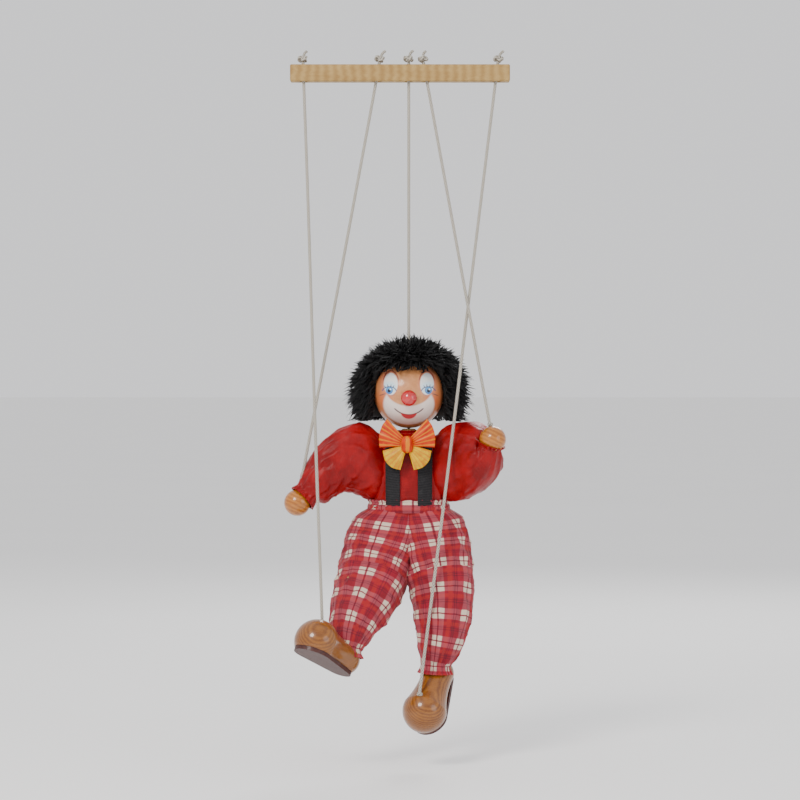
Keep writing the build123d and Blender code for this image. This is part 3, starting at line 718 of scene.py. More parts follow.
def rope_mesh(name, line, radius, material, step=0.45, cols=12, strands=4, pitch=3.8, **options):
    """A braided cord along a line: two sets of strands wind opposite ways over each other."""
    line, at = resample(line, step)
    tangent, side, other = line_frames(line)
    angle = np.linspace(0, TAU, cols, endpoint=False)
    one = np.sin(strands / 2 * (angle[None, :] + TAU * at[:, None] / pitch))
    two = np.sin(strands / 2 * (angle[None, :] - TAU * at[:, None] / pitch))
    swell = radius * (0.90 + 0.10 * np.maximum(one, two))
    ring = (
        line[:, None, :]
        + side[:, None, :] * (np.cos(angle)[None, :, None] * swell[..., None])
        + other[:, None, :] * (np.sin(angle)[None, :, None] * swell[..., None])
    )
    rows = len(line)
    points = np.concatenate([ring.reshape(-1, 3), line[:1] - tangent[:1] * radius * 0.4, line[-1:] + tangent[-1:] * radius * 0.4])
    faces = grid_faces(rows, cols)
    first, last = rows * cols, rows * cols + 1
    for j in range(cols):
        faces.append((first, (j + 1) % cols, j))
        faces.append((last, (rows - 1) * cols + j, (rows - 1) * cols + (j + 1) % cols))
    around = np.broadcast_to(np.linspace(0, 1, cols, endpoint=False)[None, :], (rows, cols))
    along = np.broadcast_to(at[:, None], (rows, cols))
    uv = np.concatenate([np.stack([around, along], axis=2).reshape(-1, 2), [[0, 0], [0, at[-1]]]])
    return make_mesh(name, points, faces, material, uv=uv, **options)


def knot_line(centre, direction, size, turn=0.0):
    """An overhand knot: a trefoil pulled round the cord's own direction."""
    t = np.linspace(0, TAU, 90, endpoint=False)
    x = np.sin(t) + 2 * np.sin(2 * t)
    y = np.cos(t) - 2 * np.cos(2 * t)
    z = -np.sin(3 * t)
    direction = unit(direction)
    side = unit(np.cross(direction, [math.cos(turn), math.sin(turn), 0.31]))
    other = np.cross(direction, side)
    scale = size / 3.0
    return centre + scale * (x[:, None] * side + y[:, None] * other + 1.15 * z[:, None] * direction)


def knot_mesh(name, centre, direction, size, cord, body, turn=0.0):
    """A tied knot as a closed rope ring wound on itself."""
    line = knot_line(np.asarray(centre, float), direction, size, turn)
    count, cols = len(line), 10
    tangent = unit(np.roll(line, -1, axis=0) - np.roll(line, 1, axis=0))
    out = unit(line - line.mean(axis=0))
    side = unit(np.cross(tangent, out))
    other = np.cross(side, tangent)
    angle = np.linspace(0, TAU, cols, endpoint=False)
    at = np.linspace(0, TAU, count, endpoint=False)
    swell = cord * (0.94 + 0.07 * np.sin(2 * angle[None, :] + 12 * at[:, None]))
    ring = (
        line[:, None, :]
        + side[:, None, :] * (np.cos(angle)[None, :, None] * swell[..., None])
        + other[:, None, :] * (np.sin(angle)[None, :, None] * swell[..., None])
    )
    points = ring.reshape(-1, 3)
    faces = grid_faces(count, cols, close_rows=True)
    around = np.broadcast_to(np.linspace(0, 1, cols, endpoint=False)[None, :], (count, cols))
    along = np.broadcast_to((at * size)[:, None], (count, cols))
    uv = np.stack([around, along], axis=2).reshape(-1, 2)
    return make_mesh(name, points, faces, cotton, body=body, uv=uv, slot="string_cotton")


for name, route in routes.items():
    body = "torso" if name == "head_string" else name
    line = read_route(route, name + "_route")
    top = np.array(route[-1])
    low = np.array(route[0])
    pull = unit(top - low)
    knots = [knot_mesh(name + "_knot", top - pull * 0.6, pull, 2.35, 0.95, body, turn=top[0])]
    tail = [top - pull * 1.0, top + pull * 2.2 + [0.9, -0.4, 0.2], top + pull * 3.6 + [2.4, -1.6, 0.2]]
    tail_piece = rope_mesh(
        name + "_tail", catmull(tail, 14), 0.8, cotton, body=body, slot="string_cotton"
    )
    knots.append(tail_piece)
    if name == "head_string":
        knots.append(knot_mesh(name + "_low_knot", low, pull, 2.0, 0.9, body))
    else:
        knots.append(knot_mesh(name + "_low_knot", low + pull * 1.0, pull, 1.25, 0.62, body))
    cord = rope_mesh(
        name + "_cord", line, string_radius, cotton, body=body, nodes=(name,), slot="string_cotton"
    )


# ---------------------------------------------------------------- CAD pieces that keep their shape
def keep(node, material):
    obj = frame["nodes"][node]
    obj.data.materials.clear()
    obj.data.materials.append(material)


keep("control_bar", pale_wood)
for node in ("chest_block", "hip_block", "spine_lath", "neck_bead"):
    keep(node, core_wood)
for side in ("right", "left"):
    for part in ("upper_arm", "forearm", "thigh", "shank"):
        keep(f"{side}_{part}", core_wood)
    for part in ("shoulder_pin", "elbow_pin", "hip_pin", "knee_pin", "ankle_pin"):
        keep(f"{side}_{part}", pin_steel)

for side in ("right", "left"):
    keep(f"{side}_shoe", shoe_wood)
    keep(f"{side}_sole", sole_stain_and_shade)

# ---------------------------------------------------------------- head, nose and hands
head_centre = np.array([FIGURE_X, 0.0, -182.0])
head_radius = 20.0
face = face_paint("face_paint", head_centre, head_radius)


def ball(name, centre, radius, material, segments=96, squash=(1, 1, 1), ripple=0.0, **options):
    """A lathe-turned ball: rings with faint tool marks."""
    rings = segments // 2
    polar = np.linspace(0, math.pi, rings + 1)[1:-1]
    around = np.linspace(0, TAU, segments, endpoint=False)
    r = radius * (1 + ripple * np.sin(polar * 40))
    x = np.sin(polar)[:, None] * np.cos(around)[None, :] * r[:, None] * squash[0]
    y = np.sin(polar)[:, None] * np.sin(around)[None, :] * r[:, None] * squash[1]
    z = np.broadcast_to((np.cos(polar) * r)[:, None], x.shape) * squash[2]
    points = np.stack([x, y, z], axis=2).reshape(-1, 3)
    points = np.concatenate([points, [[0, 0, radius * squash[2]], [0, 0, -radius * squash[2]]]])
    rows = len(polar)
    faces = [tuple(reversed(f)) for f in grid_faces(rows, segments)]
    for j in range(segments):
        k = (j + 1) % segments
        faces.append((rows * segments, j, k))
        faces.append((rows * segments + 1, (rows - 1) * segments + k, (rows - 1) * segments + j))
    return make_mesh(name, points + centre, faces, material, **options)


ball("painted_head", head_centre, head_radius, face, 160, body="head", nodes=("head_ball",), slot="face_paint")
nose_centre = box_centre("nose") * [1, 0, 0] + head_centre * [0, 1, 1] + [0, -20.6, -2.85]
ball("round_nose", nose_centre, 4.6, nose_paint, 72, (1.0, 0.92, 1.0), body="head", nodes=("nose",), slot="red_gloss")
for side in ("right", "left"):
    ball(
        f"{side}_hand_ball",
        box_centre(f"{side}_hand"),
        7.5,
        hand_wood,
        96,
        ripple=0.0006,
        body=f"{side}_forearm",
        nodes=(f"{side}_hand",),
        slot="varnished_wood",
    )

# ---------------------------------------------------------------- shirt
def rounded_ring(angle, power):
    """Points round a rounded rectangle of half size one: x to the side, y to the back."""
    c, s = np.cos(angle), np.sin(angle)
    return np.sign(c) * np.abs(c) ** (2 / power), np.sign(s) * np.abs(s) ** (2 / power)


# height, half width, half depth, middle in y, squareness
shirt_keys = np.array(
    [
        (-203.2, 7.6, 7.2, 0.6, 2.0),
        (-205.0, 7.0, 6.6, 0.4, 2.0),
        (-206.2, 10.5, 8.0, 0.2, 2.2),
        (-208.2, 15.0, 9.8, 0.0, 2.5),
        (-212.5, 17.3, 11.3, 0.0, 2.6),
        (-222.0, 18.2, 12.4, 0.3, 2.6),
        (-234.0, 19.4, 13.4, 0.9, 2.6),
        (-242.0, 21.0, 14.2, 1.3, 2.6),
        (-246.5, 20.8, 14.0, 1.6, 2.6),
        (-250.0, 20.0, 12.6, 2.0, 2.6),
    ]
)
shirt_folds = waves(11, 9, 3, 9)
shirt_rows, shirt_cols = 110, 144
shirt_angle = np.linspace(0, TAU, shirt_cols, endpoint=False)


def shirt_surface():
    keys = catmull(shirt_keys, shirt_rows)
    z, half_width, half_depth, middle, power = keys.T
    points = np.zeros((shirt_rows, shirt_cols, 3))
    for i in range(shirt_rows):
        x, y = rounded_ring(shirt_angle, power[i])
        points[i, :, 0] = FIGURE_X + half_width[i] * x
        points[i, :, 1] = middle[i] + half_depth[i] * y
        points[i, :, 2] = z[i]
    drop = -z[:, None]
    fall = smooth(drop, 208, 226)
    gather = smooth(drop, 236, 246)
    upright = np.cos(17 * shirt_angle[None, :] + 0.02 * drop) * (0.2 * fall + 0.30 * gather)
    slanted = shirt_folds(shirt_angle[None, :], drop * 0.5) * 0.9 * fall
    collar = 0.25 * np.cos(22 * shirt_angle[None, :]) * (1 - smooth(drop, 205, 210))
    away = points - points.mean(axis=1, keepdims=True)
    away[..., 2] = 0
    return points + unit(away + 1e-9) * (upright + slanted + collar)[..., None]


shirt_points = shirt_surface()
cloth_tube(
    "shirt_body_cloth", shirt_points, 0.6, red_satin, body="torso", nodes=("shirt_body",), slot="red_satin"
)


def sleeve(side, keys, back, seed, split, cols=112, rows=150):
    """A loose sleeve in two pieces that share one ring: torso to upper arm, upper arm to forearm.
    Each key is the top and under edge in the arm's own plane, the half depth and a shift to the back."""
    shoulder = joint_place(f"{side}_shoulder")
    elbow = joint_place(f"{side}_elbow")
    hand = box_centre(f"{side}_hand")
    out = unit((hand - shoulder) * [1, 1, 0])
    keys = catmull(np.array(keys, float), rows)
    top = out * keys[:, 0:1] + UP * keys[:, 1:2] + shoulder * [1, 1, 0]
    under = out * keys[:, 2:3] + UP * keys[:, 3:4] + shoulder * [1, 1, 0]
    centre = (top + under) / 2 + back * keys[:, 5:6]
    half = (top - under) / 2
    angle = np.linspace(0, TAU, cols, endpoint=False)
    x, y = rounded_ring(angle, 2.15)
    points = centre[:, None] + half[:, None] * y[None, :, None] + (back * keys[:, 4:5])[:, None] * x[None, :, None]
    share = np.linspace(0, 1, rows)[:, None]
    reach = np.concatenate([[0], np.cumsum(np.linalg.norm(np.diff(centre, axis=0), axis=1))])[:, None]
    cuff = smooth(share, 0.82, 0.94)
    root = 1 - smooth(share, 0.12, 0.30)
    folds = waves(seed, 10, 2, 7)(angle[None, :], reach * 0.9) * (1 - 0.6 * cuff) * (1 - root) * 2.9
    small = waves(seed + 1, 8, 5, 13)(angle[None, :], reach * 1.4) * 0.95 * (1 - root)
    gathers = np.cos(19 * angle[None, :] + 0.6 * np.sin(3 * angle[None, :])) * (0.55 * cuff + 0.30 * root)
    away = points - points.mean(axis=1, keepdims=True)
    rise = np.maximum(folds + small, -0.5) + 0.7
    points = points + unit(away) * (rise * (1 - root) + gathers)[..., None]
    cut = int(split * rows)
    first = cloth_tube(
        f"{side}_sleeve_top",
        points[: cut + 1],
        0.55,
        red_satin,
        nodes=(f"{side}_upper_sleeve",),
        slot="red_satin",
    )
    second = cloth_tube(
        f"{side}_sleeve_cuff",
        points[cut:],
        0.55,
        red_satin,
        uv_start=float(reach[cut, 0]),
        nodes=(f"{side}_lower_sleeve",),
        slot="red_satin",
    )
    bend_pair(first, second, points[cut], out)



# top edge out and height, under edge out and height, half depth, shift to the back
sleeve(
    "right",
    [
        (-8.0, -208.0, -9.0, -240.0, 7.5, 0.0),
        (-1.0, -205.0, -3.0, -242.6, 10.0, 0.3),
        (4.0, -201.2, 2.0, -243.5, 11.6, 0.5),
        (10.5, -199.6, 8.5, -240.5, 12.5, 0.5),
        (20.0, -202.2, 15.5, -238.0, 13.0, 0.5),
        (29.5, -208.2, 21.5, -238.5, 12.2, 0.0),
        (37.8, -217.5, 26.5, -241.0, 10.8, 0.0),
        (43.0, -226.5, 31.0, -244.0, 9.4, 0.0),
        (44.6, -231.2, 35.0, -243.4, 7.6, 0.0),
        (46.2, -234.4, 37.2, -244.6, 6.6, 0.0),
        (48.8, -236.0, 38.8, -247.2, 7.7, 0.0),
    ],
    back=-joint_axis("right_shoulder") if joint_axis("right_shoulder")[1] < 0 else joint_axis("right_shoulder"),
    seed=31,
    split=0.38,
)
sleeve(
    "left",
    [
        (-6.0, -208.0, -7.0, -240.0, 6.0, -3.0),
        (0.0, -205.0, -2.0, -243.0, 9.6, -0.6),
        (4.0, -201.0, 3.0, -243.6, 11.4, 1.0),
        (11.0, -198.9, 10.5, -243.2, 13.0, 3.5),
        (21.0, -199.2, 17.0, -241.0, 14.0, 5.0),
        (28.8, -203.0, 26.0, -236.4, 13.6, 4.0),
        (30.6, -207.6, 35.0, -228.4, 12.0, 2.4),
        (29.8, -210.6, 38.8, -220.0, 9.2, 1.0),
        (28.8, -211.2, 40.2, -216.0, 7.6, 0.0),
        (29.6, -209.6, 40.8, -214.2, 6.6, 0.0),
        (28.6, -206.2, 42.8, -213.0, 8.2, 0.0),
    ],
    back=-joint_axis("left_shoulder") if joint_axis("left_shoulder")[1] < 0 else joint_axis("left_shoulder"),
    seed=47,
    split=0.37,
)


# ---------------------------------------------------------------- suspenders
def band(name, middle_x, half_width, node):
    """An elastic strap that follows the shirt from the waist over the shoulder and down the back."""
    keys = catmull(shirt_keys, 400)
    z, half_w, half_d, mid_y, power = keys.T
    columns = np.linspace(-half_width, half_width, 11)
    lines = []
    for dx in columns:
        x = abs(middle_x + dx - FIGURE_X)
        rest = 1 - np.clip(x / half_w, 0, 1) ** power
        fits = (half_w > x) & (z < -205.5) & (z > -248.5)
        y = half_d * np.clip(rest, 0, 1) ** (1 / power)
        front = np.stack([np.full(z.shape, middle_x + dx), mid_y - y, z], axis=1)[fits][::-1]
        rear = np.stack([np.full(z.shape, middle_x + dx), mid_y + y, z], axis=1)[fits]
        line = np.concatenate([front, rear])
        gaps = np.linalg.norm(np.diff(line, axis=0), axis=1)
        reach = np.concatenate([[0], np.cumsum(gaps)])
        at = np.linspace(0, reach[-1], 130)
        lines.append(np.stack([np.interp(at, reach, line[:, k]) for k in range(3)], axis=1))
    grid = np.stack(lines, axis=1)
    along = np.gradient(grid, axis=0)
    over = np.gradient(grid, axis=1)
    normal = unit(np.cross(along, over) + 1e-9)
    towards = grid - np.array([FIGURE_X, 1.0, -232.0])
    normal = normal * np.sign((normal * towards).sum(axis=2, keepdims=True))
    crown = 0.10 * (1 - (columns / half_width) ** 2)[None, :, None]
    outer = grid + normal * (1.75 + crown)
    inner = grid + normal * 0.75
    loop = np.concatenate([outer, inner[:, ::-1]], axis=1)
    rows, cols, _ = loop.shape
    points = loop.reshape(-1, 3)
    faces = grid_faces(rows, cols)
    faces.append(tuple(range(cols))[::-1])
    faces.append(tuple((rows - 1) * cols + j for j in range(cols)))
    u = np.concatenate([columns, columns[::-1]])
    v = np.linspace(0, 95, rows)
    uv = np.stack(np.broadcast_arrays(u[None, :], v[:, None]), axis=2).reshape(-1, 2)
    strap = make_mesh(name, points, faces, black_elastic, body="torso", uv=uv, nodes=(node,), slot="black_elastic")
    return strap


band("right_strap", FIGURE_X - 8.75, 3.8, "right_suspender")
band("left_strap", FIGURE_X + 8.75, 3.8, "left_suspender")


# ---------------------------------------------------------------- trousers
def trouser(side, keys, seed, split, cols=128, rows=190):
    """One trouser leg from waistband to frilled cuff, in two pieces that share one ring."""
    keys = catmull(np.array(keys, float), rows)
    centre, half_width, half_depth, power = keys[:, 0:3], keys[:, 3], keys[:, 4], keys[:, 5]
    tangent = unit(np.gradient(centre, axis=0))
    straight = smooth(np.linspace(0, 1, rows), 0.05, 0.35)[:, None]
    tangent = unit(tangent * straight - UP * (1 - straight))
    side_way = np.array([1.0, 0, 0]) - tangent * tangent[:, 0:1]
    side_way = unit(side_way)
    rear = np.cross(side_way, tangent)
    rear = rear * np.sign(rear[:, 1:2])
    angle = np.linspace(0, TAU, cols, endpoint=False)
    points = np.zeros((rows, cols, 3))
    for i in range(rows):
        x, y = rounded_ring(angle, power[i])
        points[i] = (
            centre[i]
            + side_way[i] * (half_width[i] * x)[:, None]
            + rear[i] * (half_depth[i] * y)[:, None]
        )
    share = np.linspace(0, 1, rows)[:, None]
    reach = np.concatenate([[0], np.cumsum(np.linalg.norm(np.diff(centre, axis=0), axis=1))])[:, None]
    waist = 1 - smooth(share, 0.03, 0.20)
    cuff = smooth(share, 0.84, 0.945)
    loose = (1 - waist) * (1 - cuff)
    folds = waves(seed, 10, 2, 6)(angle[None, :], reach * 0.8) * 3.0 * loose
    small = waves(seed + 1, 8, 4, 11)(angle[None, :], reach * 1.3) * 1.2 * loose
    pulls = np.cos(21 * angle[None, :] + 0.8 * np.sin(4 * angle[None, :]))
    gathers = pulls * (0.38 * waist + 0.55 * cuff)
    away = points - points.mean(axis=1, keepdims=True)
    rise = np.maximum(folds + small, -0.9) + 0.5
    points = points + unit(away) * (rise * loose + gathers)[..., None]
    cut = int(split * rows)
    first = cloth_tube(
        f"{side}_trouser_top",
        points[: cut + 1],
        0.6,
        tartan_cloth,
        nodes=(f"{side}_upper_trouser",),
        slot="tartan",
    )
    second = cloth_tube(
        f"{side}_trouser_leg",
        points[cut:],
        0.6,
        tartan_cloth,
        uv_start=float(reach[cut, 0]),
        nodes=(f"{side}_lower_trouser",),
        slot="tartan",
    )
    bend_pair(first, second, points[cut], tangent[cut])


# middle of the ring, half width, half depth, squareness
trouser(
    "right",
    [
        (-3.4, 1.4, -245.4, 14.0, 14.6, 2.9),
        (-3.8, 1.4, -248.0, 14.2, 14.3, 2.9),
        (-7.6, 1.6, -256.0, 18.6, 16.4, 2.8),
        (-10.2, 0.2, -266.0, 20.2, 17.6, 2.6),
        (-13.2, -4.2, -277.5, 20.2, 17.6, 2.4),
        (-16.4, -12.2, -289.0, 19.6, 16.6, 2.2),
        (-20.6, -21.5, -299.5, 17.6, 15.2, 2.1),
        (-25.4, -29.2, -309.5, 14.2, 13.4, 2.0),
        (-28.6, -34.6, -318.2, 11.0, 11.0, 2.0),
        (-29.7, -36.6, -323.2, 8.3, 8.3, 2.0),
        (-30.0, -37.4, -326.0, 8.0, 8.0, 2.0),
        (-30.2, -38.0, -329.0, 9.6, 9.6, 2.0),
    ],
    seed=5,
    split=0.44,
)
trouser(
    "left",
    [
        (13.4, 1.4, -245.4, 14.0, 14.6, 2.9),
        (13.8, 1.4, -248.0, 14.2, 14.3, 2.9),
        (17.6, 1.6, -256.0, 18.2, 16.4, 2.8),
        (19.6, 0.6, -266.0, 19.6, 17.4, 2.6),
        (21.4, -3.2, -278.0, 19.4, 17.2, 2.4),
        (23.4, -8.4, -291.0, 18.4, 16.6, 2.2),
        (24.2, -13.0, -304.0, 16.6, 15.6, 2.1),
        (23.4, -16.0, -317.0, 14.4, 14.0, 2.0),
        (21.6, -17.0, -327.5, 11.4, 11.4, 2.0),
        (20.4, -17.0, -333.5, 8.6, 8.6, 2.0),
        (20.1, -17.0, -336.5, 8.2, 8.2, 2.0),
        (19.9, -17.0, -340.0, 9.9, 9.9, 2.0),
    ],
    seed=9,
    split=0.42,
)


def waistband():
    """A gathered elastic channel round the waist, with a small frill above it."""
    cols = 200
    angle = np.linspace(0, TAU, cols, endpoint=False)
    x, y = rounded_ring(angle, 2.7)
    # height, growth, gathers
    profile = [
        (-242.6, 0.9, 1.0), (-243.6, 0.5, 0.8), (-244.4, 0.1, 0.45), (-245.4, 0.7, 0.35),
        (-246.8, 1.1, 0.35), (-248.2, 0.9, 0.40), (-249.2, 0.3, 0.50), (-250.0, 0.2, 0.55),
    ]
    profile = catmull(np.array(profile), 40)
    rows = len(profile)
    points = np.zeros((rows, cols, 3))
    puckers = np.cos(46 * angle + 1.3 * np.sin(5 * angle)) + 0.5 * np.cos(29 * angle + 2.0)
    for i, (z, grow, gathers) in enumerate(profile):
        swell = grow + 0.32 * gathers * puckers
        points[i, :, 0] = FIGURE_X + (22.4 + swell) * x
        points[i, :, 1] = 1.4 + (14.9 + swell) * y
        points[i, :, 2] = z + 0.35 * gathers * np.sin(31 * angle) * (i < 6)
    return cloth_tube(
        "waistband", points, 0.7, tartan_cloth, body="torso", nodes=("trousers_seat",), slot="tartan"
    )


waistband()


# ---------------------------------------------------------------- bow tie
def bow_lobe(name, inner, outer, pleats, puff, material, lean):
    """One pleated fan of satin from the knot to its outer edge, closed front to back."""
    rows, cols = 44, 64
    bow_centre = np.array([4.0, -18.6, -211.0])
    t = np.linspace(0, 1, rows)[:, None]
    w = np.linspace(0, 1, cols)[None, :]
    inner_line = catmull(np.array(inner, float), cols)
    outer_line = catmull(np.array(outer, float), cols)
    flat = inner_line[None] * (1 - t[..., None]) + outer_line[None] * t[..., None]
    open_up = np.sin(np.pi * np.clip(t, 0, 1) ** 0.8) ** 0.7
    fan = 0.25 + 0.75 * t
    fold = np.cos(TAU * pleats * w + 0.5) * fan * (1 - 0.35 * t)
    cover = np.sin(np.pi * w) ** 0.35
    front_y = -(puff * open_up * cover + 0.55 * fold * cover + 0.30 + 0.35 * t)
    back_y = puff * 0.75 * open_up * cover - 0.45 * fold * cover + 0.30 + 0.35 * t
    front = np.stack([flat[..., 0], front_y + lean * t, flat[..., 1]], axis=2)
    back = np.stack([flat[..., 0], back_y + lean * t, flat[..., 1]], axis=2)
    grid = np.concatenate([front, back[:, ::-1]], axis=1)
    rows, cols, _ = grid.shape
    points = (grid + bow_centre).reshape(-1, 3)
    faces = grid_faces(rows, cols)
    faces.append(tuple(range(cols)))
    half = cols // 2
    last = (rows - 1) * cols
    for j in range(half - 1):
        faces.append((last + j, last + j + 1, last + cols - 2 - j, last + cols - 1 - j))
    around = np.linspace(0, 60, cols)[None, :]
    along = np.linspace(0, 18, rows)[:, None]
    uv = np.stack(np.broadcast_arrays(around, along), axis=2).reshape(-1, 2)
    return make_mesh(name, points, faces, material, body="torso", uv=uv, slot="yellow_satin")


for way, tag in ((-1, "right"), (1, "left")):
    upper = bow_lobe(
        f"bow_{tag}_upper",
        [(way * 1.2, 3.4), (way * 2.4, 2.0), (way * 2.6, 0.4), (way * 1.6, -1.0)],
        [(way * 11.2, 14.6), (way * 14.2, 10.4), (way * 15.8, 4.6), (way * 15.6, -1.6)],
        3,
        2.1,
        orange_satin,
        -0.6,
    )
    lower = bow_lobe(
        f"bow_{tag}_lower",
        [(way * 2.2, 0.2), (way * 2.2, -1.6), (way * 1.4, -2.8), (way * 0.6, -3.2)],
        [(way * 13.8, -3.6), (way * 12.4, -9.0), (way * 8.8, -12.8), (way * 3.8, -14.4)],
        2.5,
        1.5,
        yellow_satin,
        0.9,
    )
    if way < 0:
        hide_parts("bow_wings")


def bow_knot():
    """The wrapped middle of the bow: a short barrel of folded satin."""
    rows, cols = 40, 72
    t = np.linspace(-1, 1, rows)
    angle = np.linspace(0, TAU, cols, endpoint=False)
    x, y = rounded_ring(angle, 2.6)
    centre = np.array([4.0, -18.6, -211.0])
    points = np.zeros((rows, cols, 3))
    for i, level in enumerate(t):
        bulge = 1 - 0.16 * level**2
        end = math.sqrt(max(0.0, 1 - abs(level) ** 6))
        pleat = 0.16 * np.cos(TAU * 4 * (x * 0.5 + 0.5) + 1.2 * level)
        points[i, :, 0] = centre[0] + (3.4 * bulge * end + pleat) * x
        points[i, :, 1] = centre[1] + (3.9 * bulge * end + pleat) * y
        points[i, :, 2] = centre[2] - level * 4.9
    flat = points.reshape(-1, 3)
    faces = [tuple(reversed(f)) for f in grid_faces(rows, cols)]
    faces.append(tuple(range(cols)))
    faces.append(tuple((rows - 1) * cols + j for j in range(cols))[::-1])
    uv = np.stack(np.broadcast_arrays(np.linspace(0, 22, cols)[None, :], (t * 5)[:, None]), axis=2).reshape(-1, 2)
    return make_mesh(
        "bow_middle", flat, faces, orange_satin, body="torso", uv=uv, nodes=("bow_knot",), slot="yellow_satin"
    )


bow_knot()

# ---------------------------------------------------------------- wig
fur_rng = np.random.default_rng(2024)
wig_axis = np.array([FIGURE_X, 3.0, -180.0])


def hair_reach(direction):
    """How far the pile's tips stand from the wig's middle in a direction."""
    x, y, z = direction.T
    side = 34.0 + 1.8 * np.abs(x)
    toward_string = smooth((direction @ unit([0.8, -0.6, 0.0])), 0.80, 0.96)
    side = side - 2.2 * toward_string
    top = 32.0 + 2.0 * x
    level = np.hypot(x, y)
    return 1 / np.sqrt((level / side) ** 2 + (z / top) ** 2)


def face_opening(direction):
    """0 behind and beside the head, 1 in front of the face, by the way round the head."""
    level = np.hypot(direction[..., 0], direction[..., 1]) + 1e-6
    return smooth(-direction[..., 1] / level, 0.20, 0.42)


def tufts(name, count, length, thickness, root_share, seed, spread, curtain=False):
    rng = np.random.default_rng(seed)
    made = 0
    all_points, all_faces = [], []
    segments, cols = 5, 4
    while made < count:
        theta = rng.uniform(0, TAU)
        z = rng.uniform(-0.52, 1.0)
        level = math.sqrt(max(0.0, 1 - z * z))
        direction = np.array([level * math.cos(theta), level * math.sin(theta), z])
        reach = hair_reach(direction[None])[0]
        root = wig_axis + direction * reach * root_share
        if curtain:
            turn = math.radians(rng.uniform(8, 30))
            flip = rng.choice([-1, 1])
            direction = np.array([flip * math.cos(turn), -math.sin(turn), 0.0])
            root = wig_axis + direction * rng.uniform(22.0, 26.5) + UP * rng.uniform(-13.0, 14.0)
            direction = unit(direction + [0, -0.5, 0])
        if root[2] < -196.5:
            continue
        in_front = not curtain and face_opening(direction) > 0.5
        if in_front and root[2] < -165.0:
            continue
        if np.linalg.norm(root - head_centre) < 20.6:
            continue
        droop = np.array([0, 0, -1.0]) * (0.55 - 0.35 * z)
        comb = droop + direction * 1.0 + rng.normal(0, spread, 3)
        if in_front:
            comb = comb + np.array([0, -0.10, -0.35])
        comb = unit(comb)
        long = length * rng.uniform(0.65, 1.15)
        room = reach * rng.uniform(0.94, 1.07) - reach * root_share
        long = min(long, room / max(0.35, comb @ direction))
        bend = np.array([0, 0, -1.0]) * 0.18 * long + rng.normal(0, 0.08 * long, 3)
        t = np.linspace(0, 1, segments + 1)
        line = root + comb * (long * t)[:, None] + bend * (t**2)[:, None]
        low_limit = -197.6 + rng.uniform(-0.6, 0.8)
        line[:, 2] = np.maximum(line[:, 2], low_limit)
        if in_front:
            line[:, 2] = np.maximum(line[:, 2], -169.6 + rng.uniform(-1.2, 1.2))
        away = np.linalg.norm(line - head_centre, axis=1)
        push = np.clip(20.5 - away, 0, None)
        line = line + unit(line - head_centre) * push[:, None]
        tangent = unit(np.gradient(line, axis=0) + 1e-9)
        side = unit(np.cross(tangent, direction + rng.normal(0, 0.4, 3)) + 1e-9)
        other = np.cross(tangent, side)
        radius = thickness * rng.uniform(0.7, 1.2) * (1 - t) ** 0.8 + 0.03
        angle = np.linspace(0, TAU, cols, endpoint=False)
        ring = (
            line[:, None]
            + side[:, None] * (np.cos(angle)[None, :, None] * radius[:, None, None] * 1.5)
            + other[:, None] * (np.sin(angle)[None, :, None] * radius[:, None, None] * 0.7)
        )
        start = made * (segments + 1) * cols
        all_points.append(ring.reshape(-1, 3))
        all_faces += grid_faces(segments + 1, cols, start=start)
        all_faces.append(tuple(start + j for j in range(cols))[::-1])
        all_faces.append(tuple(start + segments * cols + j for j in range(cols)))
        made += 1
    return make_mesh(name, np.concatenate(all_points), all_faces, black_fur, body="head", slot="black_fur")


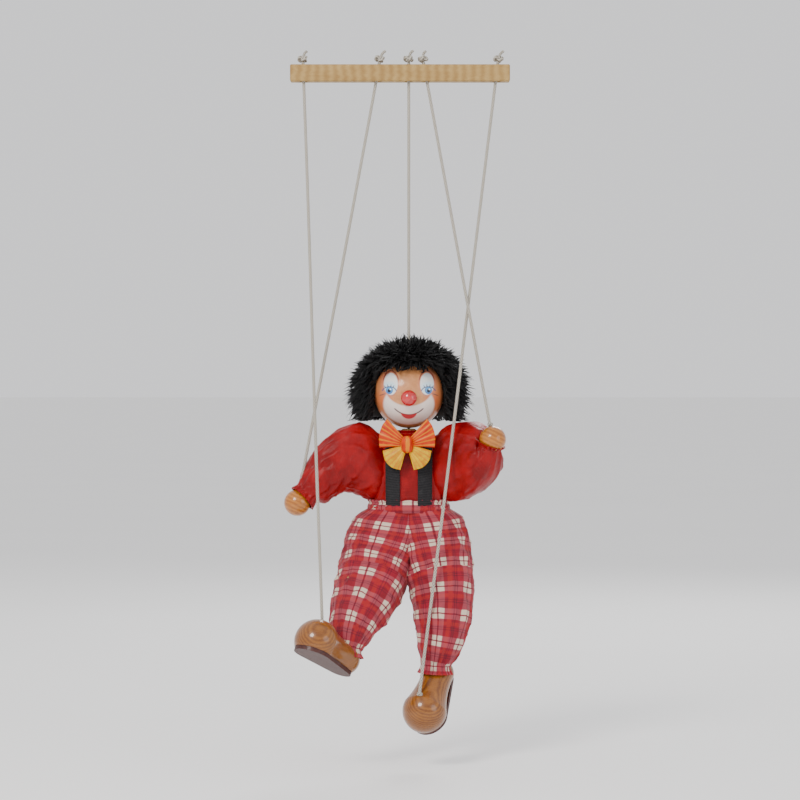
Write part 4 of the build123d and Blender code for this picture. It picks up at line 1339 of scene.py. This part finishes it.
def wig_base():
    """The knitted backing and dense under-pile of the wig: a thick open cap round the ball."""
    rows, cols = 110, 180
    theta = np.linspace(0, TAU, cols, endpoint=False)
    rough = waves(77, 10, 5, 17)
    round_way = np.stack([np.cos(theta), np.sin(theta), np.zeros(cols)], axis=1)
    opening = face_opening(round_way)
    lowest = -195.5 * (1 - opening) - 166.6 * opening

    def skin(middle, radius, wave):
        """Rings from the crown down: round as far as the widest part, then straight down to the hem."""
        below = middle[2] - lowest
        widest = np.where(below > 0, math.pi / 2, np.arccos(np.clip(-below / radius, -1, 1)))
        drop = np.clip(below, 0, None)
        share = np.linspace(0, 1, rows)[1:, None]
        reach = share * (widest * radius + drop)
        polar = np.minimum(reach / radius, widest)
        grow = 1 + wave * rough(theta[None, :], share * 40) / radius
        level = radius * np.sin(polar) * grow
        height = radius * np.cos(polar) - np.clip(reach - widest * radius, 0, None)
        return middle + level[..., None] * round_way + height[..., None] * UP

    outer_radius = 26.6 - 1.6 * opening
    outer = skin(wig_axis, outer_radius, 0.7)
    inner = skin(head_centre, np.full(cols, 20.7), 0.0)
    grid = np.concatenate([outer, inner[::-1]])
    rows_all = len(grid)
    points = np.concatenate([grid.reshape(-1, 3), [wig_axis + UP * 26.6, head_centre + UP * 20.7]])
    faces = [tuple(reversed(f)) for f in grid_faces(rows_all, cols)]
    top, under = rows_all * cols, rows_all * cols + 1
    for j in range(cols):
        k = (j + 1) % cols
        faces.append((top, j, k))
        faces.append((under, (rows_all - 1) * cols + k, (rows_all - 1) * cols + j))
    return make_mesh("wig_backing", points, faces, black_fur, body="head", nodes=("wig",), slot="black_fur")


wig_base()
tufts("wig_long_pile", 3000, 13.0, 0.62, 0.74, 101, 0.42)
tufts("wig_short_pile", 2600, 8.5, 0.50, 0.76, 202, 0.50)
tufts("wig_side_locks", 700, 8.0, 0.50, 0.80, 303, 0.28, curtain=True)

# ---------------------------------------------------------------- floor and light
floor_data = bpy.data.meshes.new("floor")
floor_data.from_pydata([(-60, -60, -0.392), (60, -60, -0.392), (60, 60, -0.392), (-60, 60, -0.392)], [], [(0, 1, 2, 3)])
floor = bpy.data.objects.new("floor", floor_data)
scene.collection.objects.link(floor)
floor_material, floor_tree, floor_shader = new_material("floor")
floor_net = Net(floor_tree)
floor_tone = floor_net.noise(floor_net.position(), 4.0, 2.0)
floor_net.put(floor_shader.inputs["Base Color"], floor_net.mix(floor_tone, (0.90, 0.895, 0.885), (0.93, 0.925, 0.915)))
floor_shader.inputs["Roughness"].default_value = 0.85
floor_data.materials.append(floor_material)

world = bpy.data.worlds.new("world")
world.use_nodes = True
world.node_tree.nodes["Background"].inputs["Color"].default_value = (0.93, 0.93, 0.95, 1)
world.node_tree.nodes["Background"].inputs["Strength"].default_value = 1.1
scene.world = world


def area_light(name, place, target, size, power, colour=(1, 1, 1)):
    data = bpy.data.lights.new(name, "AREA")
    data.shape = "DISK"
    data.size = size
    data.energy = power
    data.color = colour
    lamp = bpy.data.objects.new(name, data)
    scene.collection.objects.link(lamp)
    lamp.location = place
    lamp.rotation_euler = (Vector(target) - Vector(place)).to_track_quat("-Z", "Y").to_euler()
    lamp.visible_camera = False


area_light("key", (-0.55, -1.0, 0.55), (0, 0, -0.22), 0.45, 13, (1.0, 0.97, 0.93))
area_light("fill", (0.95, -0.8, 0.05), (0, 0, -0.2), 0.7, 3, (0.95, 0.97, 1.0))
area_light("back", (0.3, 1.1, 0.5), (0, 0, -0.2), 0.6, 6)
